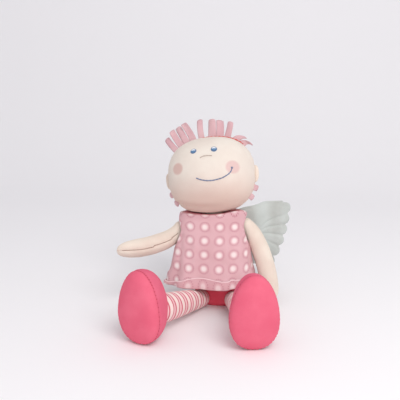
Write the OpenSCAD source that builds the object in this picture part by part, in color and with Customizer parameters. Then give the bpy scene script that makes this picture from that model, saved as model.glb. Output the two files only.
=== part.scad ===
// Seated rag doll with wings: stuffed cloth head, body, arms and legs, a sleeveless dress,
// felt hair sewn into the head seam, padded shoes and a pair of scalloped wings.
// Millimetres, +Z up. The doll faces -Y, and left and right are the doll's own.
// The origin is the middle of the flat seat, on the floor.

/* [Pose] */
// How far the neck has slumped to the doll's right of the seat
slump = 11; // [0:0.5:18]
// How far the top of the body leans back behind the seat
recline = 12; // [0:0.5:16]
// Tip of the head backwards, in degrees
head_tip = 17; // [0:1:25]
// Tilt of the head towards the doll's right, in degrees
head_tilt = 7; // [0:1:12]
// Turn of the face towards the doll's right, in degrees
head_turn = 5; // [0:1:15]
// Turn-out of the right leg, in degrees
leg_right_splay = 30; // [5:1:40]
// Turn-out of the left leg, in degrees
leg_left_splay = 15; // [5:1:40]
// Turn-out of the right foot, in degrees
foot_right_splay = 28; // [0:1:40]
// Turn-out of the left foot, in degrees
foot_left_splay = 9; // [0:1:40]
// Sweep of the right wing to the back, in degrees
wing_right_sweep = 68; // [5:1:80]
// Sweep of the left wing to the back, in degrees
wing_left_sweep = 18; // [5:1:80]

/* [Head] */
// Width of the head
head_w = 100; // [80:1:120]
// Height of the head
head_h = 87; // [70:1:100]
// Depth of the face half, from the seam
face_d = 42; // [30:1:55]
// Depth of the back half, from the seam
nape_d = 43; // [30:1:55]
// Setback of the head centre behind the neck centre
head_back_set = 5; // [0:0.5:14]
// Height of the flattened underside of the head over the dress
head_clear = 3.2; // [2:0.1:6]
// Diameter of the stuffed neck
neck_d = 22; // [16:0.5:30]

/* [Hair] */
// Free length of a felt strip on the crown
hair_len = 22; // [12:0.5:30]
// Width of a felt strip
hair_w = 6.4; // [5:0.1:11]
// Thickness of the felt
felt_t = 0.8; // [0.5:0.1:1.5]
// Number of felt strips along the crown seam
hair_n = 10; // [7:1:13]
// Free length of a strip in the side tufts
tuft_len = 4; // [3:0.5:16]

/* [Ears] */
// Height of an ear
ear_h = 19; // [14:0.5:30]
// Reach of an ear from the side of the head
ear_out = 4; // [3:0.5:12]
// Thickness of an ear
ear_t = 3; // [2:0.1:5]

/* [Face] */
// Diameter of an embroidered eye
eye_d = 6.4; // [4:0.1:9]
// Distance between the eyes
eye_span = 23; // [16:0.5:36]
// Height of the eyes over the middle of the face
eye_up = 23.4; // [15:0.1:32]
// Set of the eyes to the doll's right of the middle of the face
eye_set = 1.3; // [-4:0.1:6]
// Length of the nose stitch
nose_l = 13.3; // [8:0.1:20]
// Height of the nose stitch over the middle of the face
nose_up = 16.2; // [10:0.1:26]
// Set of the nose stitch to the doll's left of the middle of the face
nose_set = 1.6; // [-4:0.1:6]
// Width of the mouth
mouth_w = 38; // [24:0.5:50]
// Height of the mouth line, lowest to highest point
mouth_sag = 13.3; // [3:0.1:16]
// Depth of the lowest point of the mouth below the middle of the face
mouth_low = 11.4; // [4:0.1:20]
// Set of the mouth to the doll's left of the middle of the face
mouth_set = 8.7; // [-4:0.1:12]
// Thickness of the embroidery thread line
thread_d = 1.3; // [0.8:0.1:2]

/* [Body] */
// Width of the body at the hips
hip_w = 62; // [50:1:80]
// Reach of the body to the front at the hips
hip_bulge = 23.5; // [18:0.5:30]
// Reach of the body to the back at the hips
hip_rump = 22.5; // [18:0.5:32]
// Width of the flat seat
seat_w = 46; // [36:1:60]
// Reach of the flat seat to the front
seat_fore = 16; // [12:0.5:22]
// Reach of the flat seat to the back
seat_aft = 21; // [14:0.5:26]
// Width of the body at the chest
chest_w = 60; // [48:1:72]
// Depth of the body at the chest
chest_d = 34; // [28:1:46]
// Height of the waist seam, where the pants meet the body
waist_z = 32; // [24:1:44]
// Height of the top of the body
body_top_z = 101.5; // [84:0.5:110]
// Width of the flat top of the body
body_top_w = 46; // [36:1:56]
// Depth of the flat top of the body
body_top_d = 23; // [18:1:32]

/* [Arms] */
// Length of an arm from the shoulder
arm_len = 93; // [70:1:110]
// Width of an arm at its fullest
arm_w = 21; // [16:0.5:28]
// Thickness of an arm at its fullest
arm_t = 21.5; // [14:0.5:26]
// Diameter of the rounded arm root
arm_root_d = 17; // [12:0.5:22]
// Distance of a shoulder from the middle of the body
shoulder_out = 38; // [34:0.5:46]
// Height of the right shoulder
shoulder_right_z = 84; // [76:0.5:92]
// Height of the left shoulder
shoulder_left_z = 89; // [76:0.5:92]

/* [Legs and shoes] */
// Length of the right leg from hip to ankle, stretched as it lies
leg_right_len = 75; // [56:1:90]
// Length of the left leg from hip to ankle, pushed back as it lies
leg_left_len = 67; // [56:1:90]
// Diameter of a leg at the hip
leg_root_d = 20; // [16:0.5:26]
// Diameter of a leg at the ankle
leg_end_d = 31; // [20:0.5:36]
// Distance of the right hip from the middle of the seat
hip_right_out = 23; // [11:0.5:26]
// Distance of the left hip from the middle of the seat
hip_left_out = 14; // [11:0.5:26]
// Distance of the right hip in front of the middle of the seat
hip_right_fore = 25.5; // [20:0.5:38]
// Distance of the left hip in front of the middle of the seat
hip_left_fore = 27.5; // [20:0.5:38]
// Height of the hips
hip_z = 12; // [10:0.5:18]
// Height of a sole, heel to toe
sole_h = 74.5; // [60:0.5:90]
// Width of a sole
sole_w = 52; // [40:1:64]
// Depth of the shoe upper behind its sole seam
upper_d = 30; // [22:1:40]
// Crown of the padded sole in front of its seam
sole_crown = 11; // [4:0.5:14]
// Distance of the ankle behind the sole seam
ankle_back = 34; // [28:0.5:44]
// Distance of the ankle below the middle of the sole
ankle_low = 13; // [6:0.5:18]

/* [Dress] */
// Width of the dress over the shoulders
dress_w = 78; // [70:1:92]
// Depth of the dress over the shoulders
dress_d = 41; // [36:1:50]
// Reach of the hem to the doll's right, from the middle of the body
hem_right = 52; // [42:1:60]
// Reach of the hem to the doll's left, from the middle of the body
hem_left = 49; // [42:1:60]
// Reach of the hem to the front
hem_fore = 42; // [36:1:50]
// Reach of the hem to the back
hem_aft = 33; // [28:1:40]
// Height of the hem at the front
hem_front_z = 28.5; // [24:0.5:40]
// Height of the hem at the back
hem_back_z = 12; // [6:0.5:30]
// Thickness of the dress cloth
cloth_t = 1.2; // [0.8:0.1:2]
// Height of the turned-up cuff at the hem
cuff_h = 8; // [6:0.5:20]
// Depth of the folds at the hem
fold_d = 2.2; // [0:0.1:4]
// Number of folds round the hem
fold_n = 9; // [5:1:12]
// Width of the neck opening
neckline_w = 30; // [26:1:40]
// Depth of the neck opening
neckline_d = 23; // [20:1:34]
// Diameter of an armhole
armhole_d = 34; // [26:0.5:36]

/* [Wings] */
// Reach of a wing from its hinge seam
wing_span = 90; // [60:1:100]
// Height of a wing, top to lowest scallop
wing_h = 80; // [50:1:90]
// Height of a wing at its hinge seam
wing_root_h = 34; // [20:1:44]
// Thickness of a wing
wing_t = 4; // [2:0.5:8]
// Height of the top of the wings at the hinge seam
wing_top_z = 94; // [80:0.5:104]
// Number of scallops on the outer edge of a wing
scallop_n = 6; // [3:1:7]
// Width of the cloth patch that carries the wings
patch_w = 16; // [12:0.5:24]
// Thickness of the cloth patch
patch_t = 1.6; // [1:0.1:3]

/* [Hidden] */
// Running gap between stuffed pieces that turn on each other
gap = 0.35;
// Gap between cloth pieces sewn on each other
lay_gap = 0.15;
// Gap at each side of the felt in the head seam
seam_gap = 0.08;
// Extra length by which a cut runs past a face
overrun = 4;

// Sides of the round sections
ball_sides = 48;
eye_sides = 16;
head_sides = 28;
limb_sides = 14;
body_sides = 24;
shoe_sides = 24;
dress_sides = 44;
thread_sides = 6;
hinge_sides = 32;

// Steps along the curved forms
head_steps = 8;
eye_steps = 3;
strip_steps = 5;
root_steps = 3;
upper_steps = 6;
sole_steps = 4;

// Outline fullness of the cushion-like head, the body, the dress and the shoes
head_full = 2.4;
body_full = 2.6;
dress_full = 2.5;
shoe_full = 2.2;
round_full = 2;
shoe_crown_full = 2.3;
egg_share = 0.17;
// Share of a crown at which its small flat tip closes, and of a rounded root at which it starts
tip_share = 0.985;
root_tip_share = 0.12;

body_x = -slump;
body_h = body_top_z - waist_z;
// Shares of the neck and of the head by which their middles stand over the body and over the neck
neck_seat_share = 0.34;
head_rise_share = 0.42;
head_slump_share = 0.2;
neck_c = [body_x, recline, body_top_z + neck_seat_share * neck_d];
head_c = neck_c + [-slump * head_slump_share, head_back_set, head_h * head_rise_share];
head_seam = felt_t + 2 * seam_gap;
// Depth of a strip's root in the seam, in thicknesses of the felt
root_layers = 6;
hair_root = root_layers * felt_t;
// Step along the face over which its slope is taken, as a share of the head
probe_share = 0.005;
// Narrowing of a strip to its tip
strip_taper_share = 0.12;
// Lean to the side in degrees and bend to the front of each crown strip, along the seam
strip_leans = [-5, -6, 0, 7, -4, -1, 8, 3, -38, -48];
strip_bend_shares = [0.18, -0.12, 0.1, -0.14, 0.2, -0.15, 0.22, -0.12, 0.15, -0.2];
// Length of each crown strip, and its shift in degrees from an even spread: they stand in loose groups
strip_len_shares = [0.9, 0.97, 1, 1, 1.04, 0.95, 0.95, 0.85, 0.5, 0.45];
strip_shifts = [0, 2.5, 5, 6.5, 5, 0, 0, 0, -1, 0];
// Angles of the outline between which the crown strips stand, and of the side tufts and ears
crown_from = 41;
crown_to = 140.5;
tuft_angle = 33;
tuft_fan = 12;
tuft_bend_shares = [0.9, 1.1];
ear_angle = 3;
// Sections of an ear: share of its reach, share of its height, share of its thickness
ear_shares = [[0.05, 0.96, 0.6], [0.3, 0.92, 1], [0.65, 0.74, 1], [0.9, 0.46, 0.8], [1, 0.2, 0.4]];
// Nose line: share of its length along, share of its length up
nose_shares = [[-0.5, -0.13], [-0.25, -0.02], [0, 0], [0.25, -0.01], [0.5, -0.045]];
// Mouth line: share of its width along, share of its height over its lowest point
mouth_shares = [
    [-0.505, 0.308], [-0.371, 0.135], [-0.208, 0.023], [-0.058, 0], [0.079, 0.045],
    [0.216, 0.135], [0.332, 0.29], [0.418, 0.447], [0.49, 0.7], [0.52, 1]
];

shoulder_right_c = [body_x - shoulder_out, lean_at(shoulder_right_z), shoulder_right_z];
shoulder_left_c = [body_x + shoulder_out, lean_at(shoulder_left_z), shoulder_left_z];
hip_right_c = [-hip_right_out, -hip_right_fore, hip_z];
hip_left_c = [hip_left_out, -hip_left_fore, hip_z];
ankle_z = sole_h / 2 - ankle_low;
leg_rise = ankle_z - hip_z;
leg_right_dir = heading(-90 - leg_right_splay, asin(leg_rise / leg_right_len));
leg_left_dir = heading(-90 + leg_left_splay, asin(leg_rise / leg_left_len));
ankle_right_c = hip_right_c + leg_right_len * leg_right_dir;
ankle_left_c = hip_left_c + leg_left_len * leg_left_dir;

// Cross sections of the body: share of its height, share of width, share of depth
pants_shares = [[0, 0, 0], [0.1, 0.55, 0.45], [0.3, 0.85, 0.8], [0.6, 1, 1], [1, 0.96, 0.98]];
torso_shares = [[0, 1, 1], [0.35, 0.75, 0.7], [0.7, 0.1, 0.1], [0.86, 0, 0]];
shoulder_shares = [[0.5, 0.22], [0.8, 0.55], [1, 1]];
slump_shares = [[0, 0], [0.25, 0.12], [0.55, 0.72], [0.75, 1], [1, 1]];

// Fullness of a limb along its length, as shares of its full width
arm_shares = [[0, 0.78], [0.2, 0.88], [0.5, 1], [0.78, 1], [0.9, 0.88], [0.96, 0.68], [0.99, 0.42]];
leg_shares = [[0, 0], [0.15, 0.2], [0.4, 0.5], [0.7, 0.8], [1, 1]];
arm_bend_share = 0.26;
arm_root_share = 0.98;
leg_tip_angle = 89.7;
// Ways of an arm at the shoulder and beyond its bend
arm_right_start = heading(200, -58);
arm_right_finish = heading(219, 5);
arm_left_start = heading(-10, -40);
arm_left_finish = heading(-54, -70);

// Spread of the dress from shoulder to hem: share of its length, share of the spread
spread_right_shares = [[0, 0], [0.2, 0.22], [0.5, 0.4], [0.75, 0.62], [1, 1]];
spread_left_shares = [[0, 0], [0.1, -0.02], [0.35, 0.08], [0.65, 0.5], [1, 1]];
spread_fore_shares = [[0, 0], [0.3, 0.2], [0.6, 0.5], [1, 1]];
// Rise of the yoke to its sides and drop of its edge, in thicknesses of the cloth
yoke_rise_layers = 0.4;
yoke_drop_layers = 3;
armhole_drop_share = 0.17;
dress_rise = cloth_t * yoke_rise_layers;
dress_top_z = body_top_z + lay_gap + cloth_t;
dress_side_z = dress_top_z - yoke_drop_layers * cloth_t;
// Rings over the shoulders: share from neckline to shoulder edge, drop and tuck as shares of the cloth
yoke_shares = [[0, 0, 0], [0.5, 0, 0.1], [0.88, 0.4, 0.5], [0.98, 1.5, 0.9]];
skirt_steps = 9;
cuff_steps = 3;

wing_gap = wing_t / 2 + gap;
patch_h = wing_root_h + patch_w / 2;
patch_z = wing_top_z - wing_root_h / 2;
wing_pitch = patch_w / 2;
patch_y = max(back_y(patch_z - patch_h / 2), back_y(patch_z + patch_h / 2)) + lay_gap;
wing_y = patch_y + patch_t + wing_gap;
// Outline of a wing: shares of its reach and height along the top, at the inner end of the lower edge,
// and at the first and the last scallop
wing_top_shares = [[0, 0], [0.3, 0.1], [0.6, 0.17], [0.86, 0.18]];
wing_heel_share = [0.35, -0.8];
scallop_from_share = [0.9, 0.14];
scallop_to_share = [0.66, -0.86];
scallop_share = 0.56;

torso();
pants();
neck();
head_front();
head_back();
hair_fringe();
tuft_right();
tuft_left();
ear_right();
ear_left();
eye_right();
eye_left();
nose();
mouth();
dress();
dress_cuff();
neck_binding();
arm_right();
arm_left();
leg_right();
leg_left();
shoe_right();
shoe_left();
sole_right();
sole_left();
wing_patch();
wing_right();
wing_left();

// Plain geometry

// Power that keeps the sign, for rounded-square outlines
function spow(v, p) = sign(v) * pow(abs(v), p);

// Unit vector from a compass angle and a climb angle
function heading(turn, climb) = [cos(climb) * cos(turn), cos(climb) * sin(turn), sin(climb)];

function unit(v) = v / norm(v);

function mix(a, b, s) = a + (b - a) * s;

// How far the body leans back at a height
function lean_at(z) = recline * z / body_top_z;

// Value at share s of a table whose rows start with a share, from its column c
function row_at(table, s, c) = lookup(s, [for (row = table) [row[0], row[c]]]);

function total(list, i = 0) = i == len(list) - 1 ? list[i] : list[i] + total(list, i + 1);

// Rounded-square ring with its own reach to each side, as points of a level
function ring(right, left, fore, aft, full, sides) = [
    for (i = [0 : sides - 1])
        let (a = 360 * i / sides, c = spow(cos(a), 2 / full), s = spow(sin(a), 2 / full))
        [c * (c > 0 ? left : right), s * (s > 0 ? aft : fore)]
];

// Triangles between ring r and the next, for rings of n points
function band(r, n) = [
    for (i = [0 : n - 1])
        let (a = r * n + i, b = r * n + (i + 1) % n)
        each [[a, b, a + n], [b, b + n, a + n]]
];

// Closed solid through a list of rings that turn counter-clockwise seen from the last one's side
module loft(rings) {
    n = len(rings[0]);
    m = len(rings);
    first = total(rings[0]) / n;
    last = total(rings[m - 1]) / n;
    base = n * m;
    polyhedron(
        points = concat([for (r = rings) each r], [first, last]),
        faces = concat(
            [for (r = [0 : m - 2]) each [for (f = band(r, n)) [f[0], f[2], f[1]]]],
            [for (i = [0 : n - 1]) [base, i, (i + 1) % n]],
            [for (i = [0 : n - 1]) [base + 1, base - n + (i + 1) % n, base - n + i]]
        )
    );
}

// Open sleeve between outer rings and inner rings, closed at both rims
module sleeve(outer, inner) {
    n = len(outer[0]);
    m = len(outer);
    far = n * m;
    end = n * (m - 1);
    polyhedron(
        points = concat([for (r = outer) each r], [for (r = inner) each r]),
        faces = concat(
            [for (r = [0 : m - 2]) each [for (f = band(r, n)) [f[0], f[2], f[1]]]],
            [for (r = [0 : m - 2]) each [for (f = band(r, n)) [far + f[0], far + f[1], far + f[2]]]],
            [for (i = [0 : n - 1]) let (j = (i + 1) % n) each [[i, j, far + j], [i, far + j, far + i]]],
            [for (i = [0 : n - 1]) let (j = (i + 1) % n, a = end + i, b = end + j)
                each [[a, far + a, far + b], [a, far + b, b]]]
        )
    );
}

// Half cushion on an outline in X and Z: flat at y = 0, crowned towards +Y
module half_cushion(outline, depth, steps, full) {
    loft([
        for (k = [0 : steps])
            let (
                a = 90 * min(k / steps, tip_share),
                s = pow(cos(a), 2 / full),
                y = depth * pow(sin(a), 2 / full)
            )
            [for (p = outline) [p[0] * s, y, -p[1] * s]]
    ]);
}

// Points of a limb: rounded root, then sections along a bent path
function path_at(p, s) = mix(mix(p[0], p[1], s), mix(p[1], p[2], s), s);
function path_way(p, s) = unit(mix(p[1] - p[0], p[2] - p[1], s));

function section(c, way, side, wide, thick, sides) =
    let (u = unit(cross(side, way)), v = cross(way, u))
    [for (i = [0 : sides - 1]) let (a = 360 * i / sides) c + u * wide * cos(a) + v * thick * sin(a)];

function root_rings(c, way, side, r, steps, sides) = [
    for (k = [0 : steps - 1])
        let (a = 90 * (k + root_tip_share) / steps)
        section(c - way * r * cos(a), way, side, r * sin(a), r * sin(a), sides)
];

// Head: everything on it is placed in its own frame, seam in the plane y = 0
module on_head() {
    translate(head_c)
        rotate([-head_tip, -head_tilt, -head_turn])
            children();
}

function head_outline() = [
    for (p = ring(head_w / 2, head_w / 2, head_h / 2, head_h / 2, head_full, head_sides)) [p[0], p[1]]
];

// Depth of the face surface at a place on the face
function face_at(x, z) =
    let (q = pow(pow(abs(2 * x / head_w), head_full) + pow(abs(2 * z / head_h), head_full), 2 / head_full))
    [x, -head_seam / 2 - face_d * sqrt(1 - q), z];

// Outward direction of the face surface at a place on the face
function face_out(x, z) =
    let (
        e = head_w * probe_share,
        dx = face_at(x + e, z) - face_at(x - e, z),
        dz = face_at(x, z + e) - face_at(x, z - e)
    )
    unit(cross(dx, dz));

module neck_room() {
    translate(neck_c)
        sphere(d = neck_d + 2 * gap, $fn = ball_sides);
}

// Room under the flattened underside of the head, where it rests over the shoulders
module shoulder_rest() {
    translate([neck_c[0] - head_w, neck_c[1] - head_w, dress_top_z + head_clear - head_h])
        cube([2 * head_w, 2 * head_w, head_h]);
}

module head_front() {
    color("#ece0d5")
        difference() {
            on_head()
                translate([0, -head_seam / 2, 0])
                    rotate([0, 0, 180])
                        half_cushion(head_outline(), face_d, head_steps, round_full);
            neck_room();
            shoulder_rest();
        }
}

module head_back() {
    color("#e2d2c4")
        difference() {
            on_head()
                translate([0, head_seam / 2, 0])
                    half_cushion(head_outline(), nape_d, head_steps, round_full);
            neck_room();
            shoulder_rest();
        }
}

module neck() {
    color("#e8d8cb")
        translate(neck_c)
            sphere(d = neck_d, $fn = ball_sides);
}

// Place on the head seam at a compass angle of the outline, and the way out of it there
function seam_at(angle) =
    let (
        x = pow(abs(2 * cos(angle) / head_w), head_full),
        z = pow(abs(2 * sin(angle) / head_h), head_full)
    )
    pow(x + z, -1 / head_full) * [cos(angle), 0, sin(angle)];

function seam_out(p) = unit([p[0] / pow(head_w, 2), 0, p[2] / pow(head_h, 2)]);

// Section of a flat piece in the head seam: middle, way along the seam, half width and half thickness
function flat_section(c, across, w, t) = [
    c - across * w - [0, t, 0], c + across * w - [0, t, 0],
    c + across * w + [0, t, 0], c - across * w + [0, t, 0]
];

// Felt strip: stands in the head seam at a compass angle of the outline, then bends and leans
function strip_rings(angle, lean, bend, length) =
    let (p = seam_at(angle), q = seam_out(p), foot = p - q * hair_root)
    [for (k = [0 : strip_steps])
        let (
            s = max(0, (k - 1) / (strip_steps - 1)),
            lift = k == 0 ? 0 : hair_root + length * s * cos(lean * s),
            slide = length * s * sin(lean * s),
            across = [-q[2], 0, q[0]],
            c = foot + q * lift + across * slide + [0, bend * length * s * s, 0],
            w = hair_w / 2 * (1 - strip_taper_share * s)
        )
        flat_section(c, across, w, felt_t / 2)
    ];

module hair_fringe() {
    color("#edc6c7")
        on_head()
            for (i = [0 : hair_n - 1])
                loft(strip_rings(
                    crown_to - (crown_to - crown_from) * i / (hair_n - 1)
                        + strip_shifts[i % len(strip_shifts)],
                    strip_leans[i % len(strip_leans)],
                    strip_bend_shares[i % len(strip_bend_shares)],
                    hair_len * strip_len_shares[i % len(strip_len_shares)]
                ));
}

module tuft(side) {
    color("#e9bcc0")
        on_head()
            for (i = [0 : 1])
                loft(strip_rings(
                    side > 0 ? -tuft_angle + tuft_fan * i : 180 + tuft_angle - tuft_fan * i,
                    side * (tuft_fan * i - tuft_fan / 2),
                    tuft_bend_shares[i],
                    tuft_len
                ));
}

module tuft_right() {
    tuft(-1);
}

module tuft_left() {
    tuft(1);
}

// Ear: a small padded half round with a thin tab in the head seam
module ear(side) {
    p = seam_at(side > 0 ? -ear_angle : 180 + ear_angle);
    q = seam_out(p);
    across = [-q[2], 0, q[0]];
    tab = ear_h / 2 * ear_shares[0][1];
    color("#e6d6c8")
        on_head()
            loft(concat(
                [for (c = [p - q * hair_root, p + q * ear_out * ear_shares[0][0]])
                    flat_section(c, across, tab, felt_t / 2)],
                [for (row = ear_shares)
                    flat_section(p + q * (ear_out * row[0] + lay_gap), across,
                        ear_h / 2 * row[1], ear_t / 2 * row[2])]
            ));
}

module ear_right() {
    ear(-1);
}

module ear_left() {
    ear(1);
}

// Embroidered eye: a low thread-covered button on the face
module eye(x) {
    color("#5f7fa6")
        on_head()
            translate(face_at(x, eye_up) + face_out(x, eye_up) * lay_gap)
                multmatrix(aim(face_out(x, eye_up)))
                    half_cushion(eye_ring(), thread_d, eye_steps, round_full);
}

function eye_ring() = ring(eye_d / 2, eye_d / 2, eye_d / 2, eye_d / 2, round_full, eye_sides);

// Frame whose +Y points along v
function aim(v) =
    let (x = unit(cross(v, [0, 0, 1])), z = cross(x, v))
    [[x[0], v[0], z[0], 0], [x[1], v[1], z[1], 0], [x[2], v[2], z[2], 0], [0, 0, 0, 1]];

module eye_right() {
    eye(-eye_set - eye_span / 2);
}

module eye_left() {
    eye(-eye_set + eye_span / 2);
}

// Thread line laid on the face through places given as X and Z
module thread_line(places) {
    rise = thread_d / 2 + 2 * lay_gap;
    n = len(places);
    spots = [for (p = places) face_at(p[0], p[1]) + face_out(p[0], p[1]) * rise];
    loft([
        for (i = [0 : n - 1])
            section(
                spots[i],
                unit(spots[min(i + 1, n - 1)] - spots[max(i - 1, 0)]),
                face_out(places[i][0], places[i][1]),
                thread_d / 2, thread_d / 2, thread_sides
            )
    ]);
}

module nose() {
    color("#b9a79b")
        on_head()
            thread_line([for (row = nose_shares) [nose_set + nose_l * row[0], nose_up + nose_l * row[1]]]);
}

module mouth() {
    color("#8e97ad")
        on_head()
            thread_line([
                for (row = mouth_shares) [mouth_set + mouth_w * row[0], mouth_sag * row[1] - mouth_low]
            ]);
}

// Body: level rings from the seat to the top, slumping to the doll's right and leaning back
function body_ring(z, wide, fore, aft) = [
    for (p = ring(wide / 2, wide / 2, fore, aft, body_full, body_sides))
        [p[0] - slump * row_at(slump_shares, z / body_top_z, 1), p[1] + lean_at(z), z]
];

function pants_ring(row) = body_ring(
    waist_z * row[0], mix(seat_w, hip_w, row[1]),
    mix(seat_fore, hip_bulge, row[2]), mix(seat_aft, hip_rump, row[2])
);

module torso() {
    waist = pants_shares[len(pants_shares) - 1];
    waist_w = mix(seat_w, hip_w, waist[1]);
    waist_fore = mix(seat_fore, hip_bulge, waist[2]);
    waist_aft = mix(seat_aft, hip_rump, waist[2]);
    chest_s = torso_shares[len(torso_shares) - 1][0];
    color("#e8d8cb")
        difference() {
            loft(concat(
                [for (row = torso_shares)
                    body_ring(waist_z + body_h * row[0], mix(chest_w, waist_w, row[1]),
                        mix(chest_d / 2, waist_fore, row[2]), mix(chest_d / 2, waist_aft, row[2]))],
                [for (row = shoulder_shares)
                    body_ring(waist_z + body_h * mix(chest_s, 1, row[0]), mix(chest_w, body_top_w, row[1]),
                        mix(chest_d, body_top_d, row[1]) / 2, mix(chest_d, body_top_d, row[1]) / 2)]
            ));
            neck_room();
            shoulder_room(shoulder_right_c);
            shoulder_room(shoulder_left_c);
        }
}

module shoulder_room(c) {
    translate(c)
        sphere(d = arm_root_d + 2 * gap, $fn = ball_sides);
}

module pants() {
    color("#c83c50")
        difference() {
            loft([for (row = pants_shares) pants_ring(row)]);
            hip_room(hip_right_c);
            hip_room(hip_left_c);
        }
}

module hip_room(c) {
    translate(c)
        sphere(d = leg_root_d + 2 * gap, $fn = ball_sides);
}

// Arms: bent stuffed tubes with a rounded root and a mitten end
module arm(c, start, finish) {
    bend = c + arm_len * arm_bend_share * start;
    path = [c, bend, bend + arm_len * (1 - arm_bend_share) * finish];
    side = unit(cross(start, finish));
    color("#eaded3")
        loft(concat(
            root_rings(c, start, side, arm_root_d / 2 * arm_root_share, root_steps, limb_sides),
            [for (row = arm_shares)
                section(path_at(path, row[0]), path_way(path, row[0]), side,
                    arm_w / 2 * row[1], arm_t / 2 * row[1], limb_sides)]
        ));
}

module arm_right() {
    arm(shoulder_right_c, arm_right_start, arm_right_finish);
}

module arm_left() {
    arm(shoulder_left_c, arm_left_start, arm_left_finish);
}

// Legs: tapering tubes with rounded ends that sit in the pants and the shoe
module leg(c, way, length) {
    side = unit(cross(way, [0, 0, 1]));
    ankle = c + way * length;
    color("#f6e4e0")
        loft(concat(
            root_rings(c, way, side, leg_root_d / 2, root_steps, limb_sides),
            [for (row = leg_shares)
                let (r = mix(leg_root_d, leg_end_d, row[1]) / 2)
                section(c + way * length * row[0], way, side, r, r, limb_sides)],
            [for (k = [1 : root_steps])
                let (a = leg_tip_angle * k / root_steps, r = leg_end_d / 2)
                section(ankle + way * r * sin(a), way, side, r * cos(a), r * cos(a), limb_sides)]
        ));
}

module leg_right() {
    leg(hip_right_c, leg_right_dir, leg_right_len);
}

module leg_left() {
    leg(hip_left_c, leg_left_dir, leg_left_len);
}

// Shoes: an egg-shaped sole panel sewn to a domed upper, the wide end down at the heel
module at_sole(ankle, splay) {
    translate(ankle)
        rotate([0, 0, splay])
            translate([0, -ankle_back, ankle_low])
                children();
}

function sole_outline() = [
    for (p = ring(sole_w / 2, sole_w / 2, sole_h / 2, sole_h / 2, shoe_full, shoe_sides))
        [p[0] * (1 + 2 * egg_share * p[1] / sole_h - egg_share / 2), p[1]]
];

function mirrored(outline) = [for (p = outline) [-p[0], p[1]]];

module shoe(ankle, splay) {
    color("#eb6c84")
        difference() {
            at_sole(ankle, splay)
                half_cushion(sole_outline(), upper_d, upper_steps, shoe_crown_full);
            translate(ankle)
                sphere(d = leg_end_d + 2 * gap, $fn = ball_sides);
        }
}

module sole(ankle, splay) {
    color("#f0788f")
        at_sole(ankle, splay)
            translate([0, -lay_gap, 0])
                rotate([0, 0, 180])
                    half_cushion(mirrored(sole_outline()), sole_crown, sole_steps, shoe_crown_full);
}

module shoe_right() {
    shoe(ankle_right_c, -foot_right_splay);
}

module shoe_left() {
    shoe(ankle_left_c, foot_left_splay);
}

module sole_right() {
    sole(ankle_right_c, -foot_right_splay);
}

module sole_left() {
    sole(ankle_left_c, foot_left_splay);
}

// Dress: a yoke over the shoulders, then a spreading skirt with folds at the hem
function hem_height(a) =
    let (b = (1 + sin(a)) / 2)
    mix(hem_front_z, hem_back_z, b * b);

// Ring of the yoke, drawn in and dropped by shares of the cloth on its inner face
function yoke_ring(row, inset) =
    let (
        w = mix(neckline_w, dress_w, row[0]) / 2 - inset * row[2],
        d = mix(neckline_d, dress_d, row[0]) / 2 - inset * row[2]
    )
    [for (p = ring(w, w, d, d, dress_full, dress_sides))
        [body_x + p[0], p[1] + recline,
         dress_top_z + dress_rise * pow(2 * p[0] / dress_w, 2) - cloth_t * row[1] - inset * (1 - row[2])]];

// Ring of the skirt at a share of its drop, drawn in by the inset
function skirt_ring(s, inset) =
    let (
        right = mix(dress_w / 2, hem_right, row_at(spread_right_shares, s, 1)) - inset,
        left = mix(dress_w / 2, hem_left, row_at(spread_left_shares, s, 1)) - inset,
        fore = mix(dress_d / 2, hem_fore, row_at(spread_fore_shares, s, 1)) - inset,
        aft = mix(dress_d / 2, hem_aft, row_at(spread_fore_shares, s, 1)) - inset,
        base = ring(right, left, fore, aft, dress_full, dress_sides),
        fold = fold_d * s * s
    )
    [for (i = [0 : dress_sides - 1])
        let (a = 360 * i / dress_sides, p = base[i] + unit(base[i]) * fold * cos(fold_n * a))
        [body_x + p[0], p[1] + mix(recline, 0, s), mix(dress_side_z, hem_height(a), s)]];

function dress_rings(inset) = concat(
    [for (row = yoke_shares) yoke_ring(row, inset)],
    [for (k = [0 : skirt_steps]) skirt_ring(k / skirt_steps, inset)]
);

module dress() {
    color("#dcb0b4")
        difference() {
            sleeve(dress_rings(0), dress_rings(cloth_t));
            armhole(shoulder_right_c, 180);
            armhole(shoulder_left_c, 0);
        }
}

module armhole(c, turn) {
    translate(c - [0, 0, armhole_d * armhole_drop_share])
        rotate([0, 0, turn])
            rotate([0, 90, 0])
                translate([0, 0, -arm_root_d])
                    cylinder(d = armhole_d, h = 2 * arm_root_d + overrun, $fn = ball_sides);
}

// Cuff: the hem turned up on the outside of the skirt
module dress_cuff() {
    from = 1 - cuff_h / (dress_side_z - hem_front_z);
    steps = [for (k = [0 : cuff_steps]) mix(from, 1, k / cuff_steps)];
    color("#e3bfc2")
        sleeve(
            [for (s = steps) skirt_ring(s, -lay_gap - cloth_t)],
            [for (s = steps) skirt_ring(s, -lay_gap)]
        );
}

// Binding sewn into the edge of the neck opening, level with the dress
module neck_binding() {
    color("#e9c9cb")
        sleeve(
            [for (down = [0, cloth_t]) binding_ring(lay_gap, down)],
            [for (down = [0, cloth_t]) binding_ring(lay_gap + cloth_t, down)]
        );
}

function binding_ring(inset, down) = [
    for (p = ring(neckline_w / 2 - inset, neckline_w / 2 - inset, neckline_d / 2 - inset,
            neckline_d / 2 - inset, dress_full, dress_sides))
        [body_x + p[0], p[1] + recline, dress_top_z + dress_rise * pow(2 * p[0] / dress_w, 2) - down]
];

// Wings: padded flat pieces with scalloped outer edges, hinged on a patch on the back of the dress
function back_y(z) =
    let (s = (dress_side_z - z) / (dress_side_z - hem_back_z))
    mix(dress_d / 2, hem_aft, row_at(spread_fore_shares, s, 1)) + mix(recline, 0, s);

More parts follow.
